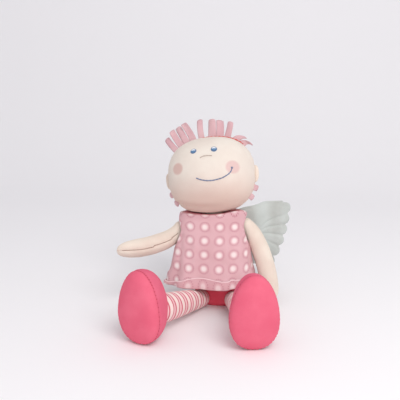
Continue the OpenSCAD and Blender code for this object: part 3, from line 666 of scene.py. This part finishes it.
PANTS_H, SEAT_W, SEAT_FORE, SEAT_AFT = 32, 46, 16, 21
HIPS_W, HIPS_FORE, HIPS_AFT = 62, 23.5, 22.5
CHEST_W, CHEST_D, CHEST_END, COLLAR_W, COLLAR_D = 60, 34, 0.86, 46, 23
BODY_FULL, BODY_COLS, PANTS_ROWS, TRUNK_ROWS, NECK_COLS, NECK_ROWS = 2.6, 72, 20, 28, 32, 16
SEAT_MID, WAIST_MID, SOCKET_R = (0, 2, 0), (-1, 4, PANTS_H), 9.8
# Shares up each piece: slump; pants' width and depth; trunk's width and depth; drawing in to the neck
SLUMPS = [(0, 0), (0.25, 0.12), (0.55, 0.72), (0.75, 1), (1, 1)]
PANTS = [(0, 0, 0), (0.1, 0.55, 0.45), (0.3, 0.85, 0.8), (0.6, 1, 1), (1, 0.96, 0.98)]
TRUNK = [(0, 1, 1), (0.35, 0.75, 0.7), (0.7, 0.1, 0.1), (CHEST_END, 0, 0)]
YOKE_IN = [(0, 0), (0.5, 0.22), (0.8, 0.55), (1, 1)]


def body_ring(z, wide, fore, aft):
    out = []
    for x, y, _ in ring(wide / 2, wide / 2, fore, aft, BODY_FULL, BODY_COLS):
        dip = 0.25 * noise.noise(Vector((x, y, z)) * 0.06)
        k = 1 + dip / 30 * smooth(0, 6, z)
        out.append(Vector((x * k - SLUMP * at(SLUMPS, z / TOP), y * k + RECLINE * z / TOP, z)))
    return out


def pants_sizes(s):
    w, d = at(PANTS, s, 1), at(PANTS, s, 2)
    return mix(SEAT_W, HIPS_W, w), mix(SEAT_FORE, HIPS_FORE, d), mix(SEAT_AFT, HIPS_AFT, d)


def trunk_sizes(s):
    if s <= CHEST_END:
        w, d = at(TRUNK, s, 1), at(TRUNK, s, 2)
        wide, fore, aft = pants_sizes(1)
        return mix(CHEST_W, wide, w), mix(CHEST_D / 2, fore, d), mix(CHEST_D / 2, aft, d)
    c = at(YOKE_IN, (s - CHEST_END) / (1 - CHEST_END))
    return mix(CHEST_W, COLLAR_W, c), mix(CHEST_D, COLLAR_D, c) / 2, mix(CHEST_D, COLLAR_D, c) / 2


rows = []
for k in range(NECK_ROWS + 1):
    a = math.pi * k / NECK_ROWS
    rows.append([NECK + Vector((c * math.sin(a), s * math.sin(a), -math.cos(a))) * (NECK_D / 2)
                 for c, s in spokes(NECK_COLS)])
piece(loft(rows), "neck_soft", M_SKIN, "neck", ["neck"])

shares = [k / PANTS_ROWS for k in range(PANTS_ROWS + 1)]
rows = [body_ring(PANTS_H * s, *pants_sizes(s)) for s in shares]
piece(loft([point_ring(SEAT_MID, BODY_COLS)] + rows + [point_ring(WAIST_MID, BODY_COLS)]),
      "pants_soft", M_PANTS, "body", ["pants"])

shares = [k / TRUNK_ROWS for k in range(TRUNK_ROWS + 1)]
rows = [body_ring(PANTS_H + (TOP - PANTS_H) * s, *trunk_sizes(s)) for s in shares]
for row in rows:
    for c in (Vector(SHOULDER_RIGHT), Vector(SHOULDER_LEFT)):
        row[:] = [c + (p - c) * max(1.0, SOCKET_R / (p - c).length) for p in row]
piece(loft([point_ring(WAIST_MID, BODY_COLS)] + rows + [point_ring((-SLUMP, RECLINE, TOP), BODY_COLS)]),
      "torso_soft", M_SKIN, "body", ["torso"])


# Dress: yoke and skirt with soft folds, armholes, a turned-up cuff and a bound neck

NECK_HOLE_W, NECK_HOLE_D, YOKE_W, YOKE_D = 30, 23, 78, 41
HEM_RIGHT, HEM_LEFT, HEM_FORE, HEM_AFT = 52, 49, 42, 33
HEM_FRONT_Z, HEM_BACK_Z, HEM_WAVES, HEM_WAVE = 28.5, 12, 9, 2.2
DRESS_FULL, DRESS_COLS, SKIRT_ROWS = 2.5, 184, 46
# Shares down the skirt by which it has flared to the hem, and across the yoke by which it has dropped
RIGHT = [(0, 0), (0.2, 0.22), (0.5, 0.4), (0.75, 0.62), (1, 1)]
LEFT = [(0, 0), (0.1, -0.02), (0.35, 0.08), (0.65, 0.5), (1, 1)]
FORE = [(0, 0), (0.3, 0.2), (0.6, 0.5), (1, 1)]
YOKE = [(0, 0), (0.5, 0), (0.88, 0.4), (0.98, 1.5)]
YOKE_SHARES = (0, 0.2, 0.4, 0.55, 0.7, 0.82, 0.88, 0.94, 0.98)


def yoke_row(share):
    """Ring of the yoke, from the neck opening at 0 to its edge at 1; it rises under the chin."""
    w, d = mix(NECK_HOLE_W, YOKE_W, share) / 2, mix(NECK_HOLE_D, YOKE_D, share) / 2
    row = []
    for x, y, _ in ring(w, w, d, d, DRESS_FULL, DRESS_COLS):
        z = DRESS_TOP + 0.48 * (x / (YOKE_W / 2)) ** 2 - DRESS_T * at(YOKE, share)
        z += (1.8 + 2.2 * smooth(-4, 22, x)) * smooth(0.1, 0.5, share) * smooth(10, -6, y)
        z += (2.0 * smooth(12, 26, x) - 2.6 * smooth(30, 39, x)) * smooth(0.55, 0.9, share)
        row.append(Vector((x - SLUMP, y + RECLINE, z)))
    return row


def drape(a, s):
    """Soft folds of the skirt, at an angle round it and a share down it."""
    soft = noise.noise(Vector((2.6 * math.cos(a), 2.6 * math.sin(a), s * 1.3)))
    long = noise.noise(Vector((6.5 * math.cos(a), 6.5 * math.sin(a), 4 + s * 0.8)))
    return (0.9 + 1.5 * soft + 1.5 * long) * smooth(0.05, 0.5, s)


def skirt_row(s, out):
    """Ring of the skirt at a share of its height, moved outward by out."""
    t = min(s, 1.0)
    right, left = mix(YOKE_W / 2, HEM_RIGHT, at(RIGHT, t)) + out, mix(YOKE_W / 2, HEM_LEFT, at(LEFT, t)) + out
    fore, aft = mix(YOKE_D / 2, HEM_FORE, at(FORE, t)) + out, mix(YOKE_D / 2, HEM_AFT, at(FORE, t)) + out
    row = []
    for x, y, a in ring(right, left, fore, aft, DRESS_FULL, DRESS_COLS):
        p = Vector((x, y))
        p += p.normalized() * (HEM_WAVE * t * t * math.cos(HEM_WAVES * a) + drape(a, t))
        low = mix(HEM_FRONT_Z, HEM_BACK_Z, ((1 + math.sin(a)) / 2) ** 2)
        crinkle = 0.8 * noise.noise(Vector((x * 0.13, y * 0.13, 7 + t * 9)))
        p += p.normalized() * crinkle * smooth(0.02, 0.2, t)
        row.append(Vector((p.x - SLUMP, p.y + mix(RECLINE, 0, t), mix(DRESS_SIDE, low, s))))
    return row


# Each armhole: its side, its middle along Y and Z, and how much narrower than high it is
HOLE_R, HOLE_DROP, HOLE_FROM, HOLE_EDGE, HOLE_NEAR, HOLE_FAR = 17.0, 5.78, 21, 17.2, 20, 32
GATHERS, GATHER_H, GATHER_AT, GATHER_W = 13, 0.7, 18.5, 6.0
HOLES = ((-1, SHOULDER_RIGHT[1], SHOULDER_RIGHT_Z - HOLE_DROP, 1.06),
         (1, SHOULDER_LEFT[1], SHOULDER_LEFT_Z - HOLE_DROP, 1.36))

dress = loft([yoke_row(s) for s in YOKE_SHARES] + [skirt_row(k / SKIRT_ROWS, 0.0) for k in range(SKIRT_ROWS + 1)],
             DRESS_COLS // 2)
gone = []
for f in dress.faces:
    c = f.calc_center_median() / MM
    for side, y, z, narrow in HOLES:
        if side * (c.x + SLUMP) > HOLE_FROM and math.hypot((c.y - y) * narrow, c.z - z) < HOLE_R:
            gone.append(f)
bmesh.ops.delete(dress, geom=gone, context="FACES")
for v in dress.verts:
    p = v.co / MM
    for side, y, z, narrow in HOLES:
        if side * (p.x + SLUMP) <= HOLE_FROM:
            continue
        d = math.hypot((p.y - y) * narrow, p.z - z)
        if v.is_boundary and d < HOLE_NEAR:
            v.co.y, v.co.z = (y + (p.y - y) * HOLE_EDGE / d) * MM, (z + (p.z - z) * HOLE_EDGE / d) * MM
        elif d < HOLE_FAR:
            t = math.atan2(p.z - z, p.y - y)
            v.co.x += side * GATHER_H * math.cos(GATHERS * t) * bell(d - GATHER_AT, GATHER_W) * MM
dress_area = area_of(dress)
o = piece(dress, "dress_cotton", M_DRESS, "body", ["dress"], sub=1, solid=DRESS_T)

# Cuff: shares down the skirt and how far out it stands, then how much of each row follows its curved edge
CUFF_H = 8
CUFF_S = 1 - CUFF_H / (DRESS_SIDE - HEM_FRONT_Z)
CUFF = [(CUFF_S, 1.45), (CUFF_S + 0.012, 2.2), (mix(CUFF_S, 1, 0.25), 2.6), (mix(CUFF_S, 1, 0.5), 2.7),
        (mix(CUFF_S, 1, 0.75), 2.6), (mix(CUFF_S, 1, 0.9), 2.4), (0.992, 2.0), (1.002, 1.2), (1.004, 0.2),
        (0.998, -0.7)]
CUFF_FOLLOW = (1, 1, 0.75, 0.5, 0.25)
CUFF_RISE, CUFF_DIP, CUFF_UNEVEN = 4.0, 4.2, 2.2

rows = [skirt_row(s, out) for s, out in CUFF]
for row, (s, out), k in zip(rows, CUFF, CUFF_FOLLOW):
    for p, below in zip(row, skirt_row(s + 0.05, out)):
        lift = (CUFF_RISE * bell(p.x + 18, 24) - CUFF_DIP * smooth(-36, -58, p.x)) * smooth(5, -10, p.y)
        lift += CUFF_UNEVEN * noise.noise(Vector((p.x * 0.05, p.y * 0.05, 3.3)))
        p += (p - below) * (k * lift / (p.z - below.z))
cuff = loft(rows, DRESS_COLS // 2)
cuff_area = area_of(cuff)
o = piece(cuff, "dress_cuff_cotton", M_CUFF, "body", ["dress_cuff"], sub=1, solid=0.8)

# Binding folded over the edge of the neck opening
BAND_W, BAND_D, BAND_COLS = 14.2, 10.7, 96
BAND = ((0.9, 2.4), (0.9, 1.0), (0.7, 0.1), (0.0, -0.25), (-0.7, 0.1), (-0.9, 1.0), (-0.9, 2.4))

rows = []
for out, down in BAND:
    rows.append([Vector((x - SLUMP, y + RECLINE, DRESS_TOP - down)) for x, y, _ in
                 ring(BAND_W + out, BAND_W + out, BAND_D + out, BAND_D + out, DRESS_FULL, BAND_COLS)])
band = loft(rows)
band_area = area_of(band)
o = piece(band, "neck_binding_tape", M_BINDING, "body", ["neck_binding"], solid=0.5)


# Arms: bent stuffed tubes with a lengthwise seam and a drawn-in tip

ARM_LEN, ARM_W, ARM_T, ARM_ROOT, ARM_BEND = 93, 21, 21.5, 8.33, 0.26
ARM_COLS, ARM_ROWS, ARM_EVEN, CAP_ROWS, THIN = 44, 44, 36, 8, 0.02
ARM = [(0, 0.78), (0.2, 0.88), (0.5, 1), (0.78, 1), (0.9, 0.88), (0.96, 0.68), (0.99, 0.42), (1.0, 0.08)]


def arm(name, c, start, finish, face):
    """Arm from its shoulder along two headings, with its seam on the side that face points to."""
    c = Vector(c)
    bend = c + start * ARM_LEN * ARM_BEND
    path = (c, bend, bend + finish * ARM_LEN * (1 - ARM_BEND))
    side = start.cross(finish).normalized()
    rows, seam = [], []

    def section(p, way, wide, thick, s):
        u = side.cross(way).normalized()
        v = way.cross(u)
        toward = (face - way * face.dot(way)).normalized()
        row = []
        best = None
        for ct, st in spokes(ARM_COLS):
            d = u * ct + v * st
            off = math.acos(max(-1.0, min(1.0, d.dot(toward))))
            groove = 0.85 * bell(off, 0.17) * smooth(0.04, 0.12, s)
            lump = 0.35 * noise.noise((p + d * 9) * 0.07) + 0.22 * bell(off, 0.5) * math.sin(s * 70)
            puff = lump * smooth(0, 0.2, s) * min(1, wide / 5) - groove * min(1, wide / 6)
            q = p + u * wide * ct + v * thick * st + d * puff
            row.append(q)
            if best is None or off < best[0]:
                best = (off, q, d)
        seam.append((s, best[1], best[2]))
        return row

    way = start.normalized()
    for k in range(CAP_ROWS):
        a = rad(90 * k / CAP_ROWS)
        r = max(THIN, ARM_ROOT * math.sin(a))
        rows.append(section(c - way * ARM_ROOT * math.cos(a), way, r, r, 0))
    for k in range(ARM_ROWS + 1):
        s = k / ARM_ROWS
        if k >= ARM_EVEN:
            s = mix(ARM_EVEN / ARM_ROWS, 1, math.sin(rad(90 * (k - ARM_EVEN) / (ARM_ROWS - ARM_EVEN))))
        p = path[0].lerp(path[1], s).lerp(path[1].lerp(path[2], s), s)
        w = (path[1] - path[0]).lerp(path[2] - path[1], s).normalized()
        f = at(ARM, s)
        flat = 1 - 0.25 * smooth(0.8, 1.0, s)
        rows.append(section(p, w, ARM_W / 2 * f, ARM_T / 2 * f * flat, s))
    rows.append(point_ring(middle(rows[-1]), ARM_COLS))
    piece(loft(rows), name + "_soft", M_SKIN, name, [name])

    # Dark tube laid in the seam groove: painted shade of the groove.
    line = [q + d * 0.12 for s, q, d in seam if 0.12 < s < 0.985]
    piece(loft(tube_rows(line, [0.3] * len(line), 6)), name + "_seam", M_SEAM_SHADE, name)
    marks = []
    pts = [(q, d) for s, q, d in seam if s > 0.55]
    for (q0, d0), (q1, d1) in zip(pts, pts[1:]):
        mid, run = (q0 + q1) / 2 + (d0 + d1) * 0.1, q1 - q0
        if run.length > 0.9:
            run.normalize()
            h = run.cross(d0).normalized() * 0.9 + run * 0.5
            marks.append(loft(tube_rows([mid - h, mid - h * 0.4, mid + h * 0.4, mid + h],
                                        [0.14, 0.26, 0.26, 0.14], 6, d0)))
    piece(join(marks), name + "_seam_stitches", M_STITCH, name)


# Each arm: name, shoulder, heading at the shoulder and at the hand, and the side its seam faces
arm("arm_right", SHOULDER_RIGHT, heading(200, -58), heading(219, 5), Vector((0.1, -0.9, 0.1)))
arm("arm_left", SHOULDER_LEFT, heading(-10, -40), heading(-54, -70), Vector((-0.9, -0.1, -0.1)))


# Legs and shoes

HIP_RIGHT, HIP_LEFT, HIP_Z = (-23, -25.5), (14, -27.5), 12
LEG_RIGHT_TURN, LEG_LEFT_TURN, LEG_RIGHT_LEN, LEG_LEFT_LEN = -120, -75, 75, 67
LEG_TOP_D, LEG_END_D, LEG_COLS, LEG_ROWS = 20, 31, 40, 40
LEG = [(0, 0), (0.15, 0.2), (0.4, 0.5), (0.7, 0.8), (1, 1)]
SHOE_W, SHOE_H, SHOE_D, SOLE_D, SHOE_TAPER = 52, 74.5, 30, 11, 0.17
SHOE_FULL, SHOE_PAD, SHOE_FORE, SHOE_RISE, SHOE_GAP = 2.2, 2.3, 34, 13, 0.15
SHOE_RIGHT_SPLAY, SHOE_LEFT_SPLAY, SHOE_COLS, SHOE_ROWS, SHOE_PUCKERS = -28, 9, 120, 21, 47
ANKLE_RISE = SHOE_H / 2 - SHOE_RISE - HIP_Z


def leg(name, hip, turn, length):
    """Striped leg from its hip; gives the place of its ankle."""
    way = heading(turn, math.degrees(math.asin(ANKLE_RISE / length)))
    side = way.cross(UP).normalized()
    up = side.cross(way)
    hip = Vector((*hip, HIP_Z))
    rows = []

    def section(p, r, s):
        row = []
        for j in range(LEG_COLS):
            t = 2 * math.pi * j / LEG_COLS
            d = side * math.cos(t) + up * math.sin(t)
            k = 0.45 * noise.noise((p + d * 12) * 0.09)
            k += 0.35 * math.sin(s * 46 + 2 * math.sin(t)) * smooth(0.55, 1, s)
            row.append(p + d * max(THIN, r + k * min(1, r / 8) * smooth(0.0, 0.2, s)))
        return row

    for k in range(CAP_ROWS):
        a = rad(90 * k / CAP_ROWS)
        rows.append(section(hip - way * LEG_TOP_D / 2 * math.cos(a), LEG_TOP_D / 2 * math.sin(a), 0))
    for k in range(LEG_ROWS + 1):
        s = k / LEG_ROWS
        rows.append(section(hip + way * length * s, mix(LEG_TOP_D, LEG_END_D, at(LEG, s)) / 2, s))
    for k in range(1, CAP_ROWS + 1):
        a = rad(89 * k / CAP_ROWS)
        rows.append(section(hip + way * (length + LEG_END_D / 2 * math.sin(a)), LEG_END_D / 2 * math.cos(a), 1))
    piece(loft(rows), name + "_soft", M_LEG, name, [name])
    return hip + way * length


def shoe_out(x, y, z):
    """Outward direction of the shoe, from its place over the squares of its half sizes."""
    return Vector((x / (SHOE_W / 2) ** 2, y, z / (SHOE_H / 2) ** 2))


def shoe(side, ankle, splay):
    """Upper and padded sole, which meet at an egg-shaped seam with stitches over it."""
    place = (Matrix.Translation(ankle) @ Matrix.Rotation(rad(splay), 4, "Z")
             @ Matrix.Translation(Vector((0, -SHOE_FORE, SHOE_RISE))))
    outline = []
    for j in range(SHOE_COLS):
        a = 2 * math.pi * j / SHOE_COLS
        x, z = spow(math.cos(a), 2 / SHOE_FULL) * SHOE_W / 2, spow(math.sin(a), 2 / SHOE_FULL) * SHOE_H / 2
        outline.append((x * (1 + 2 * SHOE_TAPER * z / SHOE_H - SHOE_TAPER / 2), -z, a))

    def half(depth, way):
        rows = []
        turns = [(0.93, 0.05), (0.972, 0.15), (0.99, 0.6)]
        for k in range(SHOE_ROWS + 1):
            a = rad(3 + 87 * k / SHOE_ROWS)
            turns.append((math.cos(a) ** (2 / SHOE_PAD), SHOE_GAP + depth * math.sin(a) ** (2 / SHOE_PAD)))
        for k, y in turns:
            row = []
            for x, z, a in outline:
                uneven = 3 * noise.noise(Vector((4 * math.cos(a), 4 * math.sin(a), splay)))
                low = 0.55 + 0.45 * smooth(10, -36, z)
                pucker = 0.010 * math.sin(SHOE_PUCKERS * a + uneven) * low + 0.004
                f = 1 + bell(y - 2.2, 4.5) * pucker * min(1, y)
                soft = 0.8 * noise.noise(Vector((x * k, way * y, z * k)) * 0.05 + Vector((splay, 0, 0)))
                p = Vector((x * k * f, way * y, z * k * f))
                out = shoe_out(x * k, way * y / depth ** 2, z * k)
                out = out.normalized() if out.length else Vector((0, way, 0))
                row.append(place @ (p + out * (0.3 + soft) * smooth(0.4, 8, y)))
            rows.append(row)
        return loft(rows + [point_ring(middle(rows[-1]), SHOE_COLS)])

    foot = "foot_" + side
    piece(half(SHOE_D, 1), "shoe_%s_soft" % side, M_SHOE, foot, ["shoe_" + side])
    piece(half(SOLE_D, -1), "sole_%s_soft" % side, M_SOLE, foot, ["sole_" + side])
    marks = []
    for i in range(0, SHOE_COLS, 2):
        (x, z, _), (nx, nz, _) = outline[i], outline[(i + 1) % SHOE_COLS]
        out = shoe_out(x, 0, z).normalized()
        run = Vector((nx - x, 0, nz - z)).normalized() * 0.5
        p = Vector((x, 0, z)) * 0.992
        stitch = [place @ (p + out * h + BACK * y + run * t) for y, h, t in
                  ((-1.5, -0.35, -1), (-0.6, 0.15, -0.4), (0.6, 0.15, 0.4), (1.5, -0.35, 1))]
        marks.append(loft(tube_rows(stitch, [0.18, 0.3, 0.3, 0.18], 6, place.to_3x3() @ out)))
    piece(join(marks), "sole_%s_stitches" % side, M_SHOE_STITCH, foot)


shoe("right", leg("leg_right", HIP_RIGHT, LEG_RIGHT_TURN, LEG_RIGHT_LEN), SHOE_RIGHT_SPLAY)
shoe("left", leg("leg_left", HIP_LEFT, LEG_LEFT_TURN, LEG_LEFT_LEN), SHOE_LEFT_SPLAY)


# Wings: padded satin pieces with scalloped edges and stitched feather lines

SPAN, RISE, SCALLOP_N, WING_ROOT_H = 90.0, 80.0, 6, 34
WING_OUT, WING_Y, WING_Z, WING_RIGHT_SWEEP, WING_LEFT_SWEEP = 8, 36.55, 94, 68, 18
WING_EDGE, WING_PAD, WING_COLS = 0.5, 2.1, 200
LOBE = RISE / SCALLOP_N * 0.56
SCALLOPS = [(SPAN * mix(0.9, 0.66, s ** 2), RISE * mix(0.14, -0.86, s))
            for s in [(i + 0.5) / SCALLOP_N for i in range(SCALLOP_N)]]
TOP_EDGE = [(SPAN * x, RISE * z) for x, z in ((0.3, 0.1), (0.6, 0.17), (0.86, 0.18))]
EDGE = [(0, -WING_ROOT_H), (0, 0)] + TOP_EDGE + SCALLOPS + [(SPAN * 0.35, -RISE * 0.8)]
MID = (34.0, -22.0)
# Folds across a wing: height, pitch along and down it, and start
WING_FOLDS = ((1.8, 8.0, 40, 0.0), (1.1, 4.6, 70, 1.3))
WING_STEPS = [0, 0.08, 0.18, 0.3, 0.42, 0.54, 0.64, 0.73, 0.81, 0.88, 0.93, 0.965, 0.985, 1.0]


def reach(t):
    """Distance from the wing's middle to its outline at an angle."""
    dx, dz = math.cos(t), math.sin(t)
    best = 0.0
    for (x0, z0), (x1, z1) in zip(EDGE, EDGE[1:] + EDGE[:1]):
        ax, az, bx, bz = x0 - MID[0], z0 - MID[1], x1 - x0, z1 - z0
        det = bx * dz - bz * dx
        if abs(det) < 1e-9:
            continue
        d, s = (bx * az - bz * ax) / det, (dx * az - dz * ax) / det
        if d > 0 and -1e-9 <= s <= 1 + 1e-9:
            best = max(best, d)
    for x, z in SCALLOPS:
        ax, az = x - MID[0], z - MID[1]
        along = ax * dx + az * dz
        h = ax * dz - az * dx
        if along > 0 and abs(h) < LOBE:
            best = max(best, along + math.sqrt(LOBE ** 2 - h * h))
    return best


def wing(name, side, sweep):
    """Wing on its fold line, swept back by an angle; side -1 mirrors it for the doll's right."""
    place = (Matrix.Translation(Vector((-SLUMP + side * WING_OUT, WING_Y, WING_Z)))
             @ Matrix.Rotation(rad(side * sweep), 4, "Z") @ Matrix.Diagonal(Vector((side, 1, 1, 1))))
    dirs = [2 * math.pi * j / WING_COLS for j in range(WING_COLS)]
    far = [reach(t) for t in dirs]
    notches = []
    for (x0, z0), (x1, z1) in zip(SCALLOPS, SCALLOPS[1:]):
        notches.append(math.atan2((z0 + z1) / 2 - MID[1], (x0 + x1) / 2 - MID[0]))

    def row(k, face):
        out = []
        for t, r in zip(dirs, far):
            x, z = MID[0] + r * k * math.cos(t), MID[1] + r * k * math.sin(t)
            h = WING_EDGE + WING_PAD * math.sqrt(max(0.0, 1 - k ** 4))
            for a in notches:
                d = (t - a + math.pi) % (2 * math.pi) - math.pi
                h -= 1.1 * bell(d * r * k, 1.5) * smooth(0.25, 0.5, k) * smooth(1.0, 0.9, k)
            h -= 0.8 * bell(k - 0.92, 0.025)
            folds = sum(f * math.sin(x / a + z / b + c) for f, a, b, c in WING_FOLDS)
            y = face * max(0.15, h) * (0.35 if k == 1.0 else 1.0) + folds * smooth(8, 40, x)
            out.append(place @ Vector((x, y, z)))
        return out

    rows = [row(k, -1) for k in WING_STEPS] + [row(k, 1) for k in reversed(WING_STEPS)]
    piece(loft(rows), name + "_soft", M_WING, name, [name])


wing("wing_right", -1, WING_RIGHT_SWEEP)
wing("wing_left", 1, WING_LEFT_SWEEP)

# Patch behind the dress that carries the wings, with a stitched line near its edge
PATCH_H, PATCH_Z, PATCH_T, PATCH_FULL, PATCH_COLS = 42, 77, 1.2, 6, 80
PATCH = ((0.0, 33.4), (0.5, 33.4), (0.86, 33.35), (0.93, 33.1), (0.97, 33.35), (1.0, 33.2))

rows = []
for k, y in PATCH:
    rows.append([Vector((-SLUMP + x * k, y, PATCH_Z + z * k)) for x, z, _ in
                 ring(WING_OUT, WING_OUT, PATCH_H / 2, PATCH_H / 2, PATCH_FULL, PATCH_COLS)])
patch = loft(rows)
patch_area = area_of(patch)
o = piece(patch, "wing_patch_cloth", M_WING, "body", ["wing_patch"], solid=PATCH_T, offset=0.0)


# Floor that curves up into a backdrop, light and camera, in metres

FLOOR_FRONT, FLOOR_BACK, FLOOR_SIDE, FLOOR_BEND, FLOOR_TOP, FLOOR_DROP = -1.6, 0.55, 2.0, 0.4, 2.2, 0.0002

profile = [(FLOOR_FRONT, 0.0), (FLOOR_BACK, 0.0)]
profile += [(FLOOR_BACK + FLOOR_BEND * math.sin(rad(a)), FLOOR_BEND - FLOOR_BEND * math.cos(rad(a)))
            for a in range(10, 91, 10)]
profile.append((FLOOR_BACK + FLOOR_BEND, FLOOR_TOP))
bm = bmesh.new()
prev = None
for y, z in profile:
    pair = [bm.verts.new((x, y, z - FLOOR_DROP)) for x in (-FLOOR_SIDE, FLOOR_SIDE)]
    if prev:
        bm.faces.new((prev[0], prev[1], pair[1], pair[0])).smooth = True
    prev = pair
me = bpy.data.meshes.new("floor")
bm.to_mesh(me)
bm.free()
floor = bpy.data.objects.new("floor", me)
scene.collection.objects.link(floor)
paper = bpy.data.materials.new("floor_paper")
paper.use_nodes = True
paper.node_tree.nodes["Principled BSDF"].inputs["Base Color"].default_value = srgb(245, 244, 245)
paper.node_tree.nodes["Principled BSDF"].inputs["Roughness"].default_value = 0.95
me.materials.append(paper)


def lamp(name, place, aim, size, power, colour):
    data = bpy.data.lights.new(name, "AREA")
    data.size, data.energy, data.color = size, power, colour
    o = bpy.data.objects.new(name, data)
    o.location = place
    o.rotation_euler = (Vector(aim) - Vector(place)).to_track_quat("-Z", "Y").to_euler()
    scene.collection.objects.link(o)


lamp("key", (0.42, -0.8, 1.0), (-0.01, -0.02, 0.1), 0.7, 7.1, (1.0, 0.985, 0.97))
lamp("fill", (0.2, -1.1, 0.2), (-0.01, 0.0, 0.06), 0.9, 2.4, (1.0, 0.97, 0.95))
world = bpy.data.worlds.new("studio")
world.use_nodes = True
world.node_tree.nodes["Background"].inputs[0].default_value = (0.97, 0.96, 1.0, 1.0)
world.node_tree.nodes["Background"].inputs[1].default_value = 0.69
scene.world = world

CAM_TURN, CAM_CLIMB, CAM_DIST, CAM_AIM = rad(4.3), rad(12.0), 0.698, Vector((-0.0255, 0.0, 0.1199))
CAM_LENS, CAM_SENSOR = 55.45, 36.0

back = Vector((math.sin(CAM_TURN) * math.cos(CAM_CLIMB), -math.cos(CAM_TURN) * math.cos(CAM_CLIMB),
               math.sin(CAM_CLIMB)))
right = Vector((math.cos(CAM_TURN), math.sin(CAM_TURN), 0))
cam = bpy.data.objects.new("camera", bpy.data.cameras.new("camera"))
cam.data.lens, cam.data.sensor_width = CAM_LENS, CAM_SENSOR
basis = Matrix((right, back.cross(right), back)).transposed().to_4x4()
cam.matrix_world = Matrix.Translation(CAM_AIM + back * CAM_DIST) @ basis
scene.collection.objects.link(cam)
scene.camera = cam
scene.view_settings.view_transform = "Standard"

bpy.context.view_layer.update()
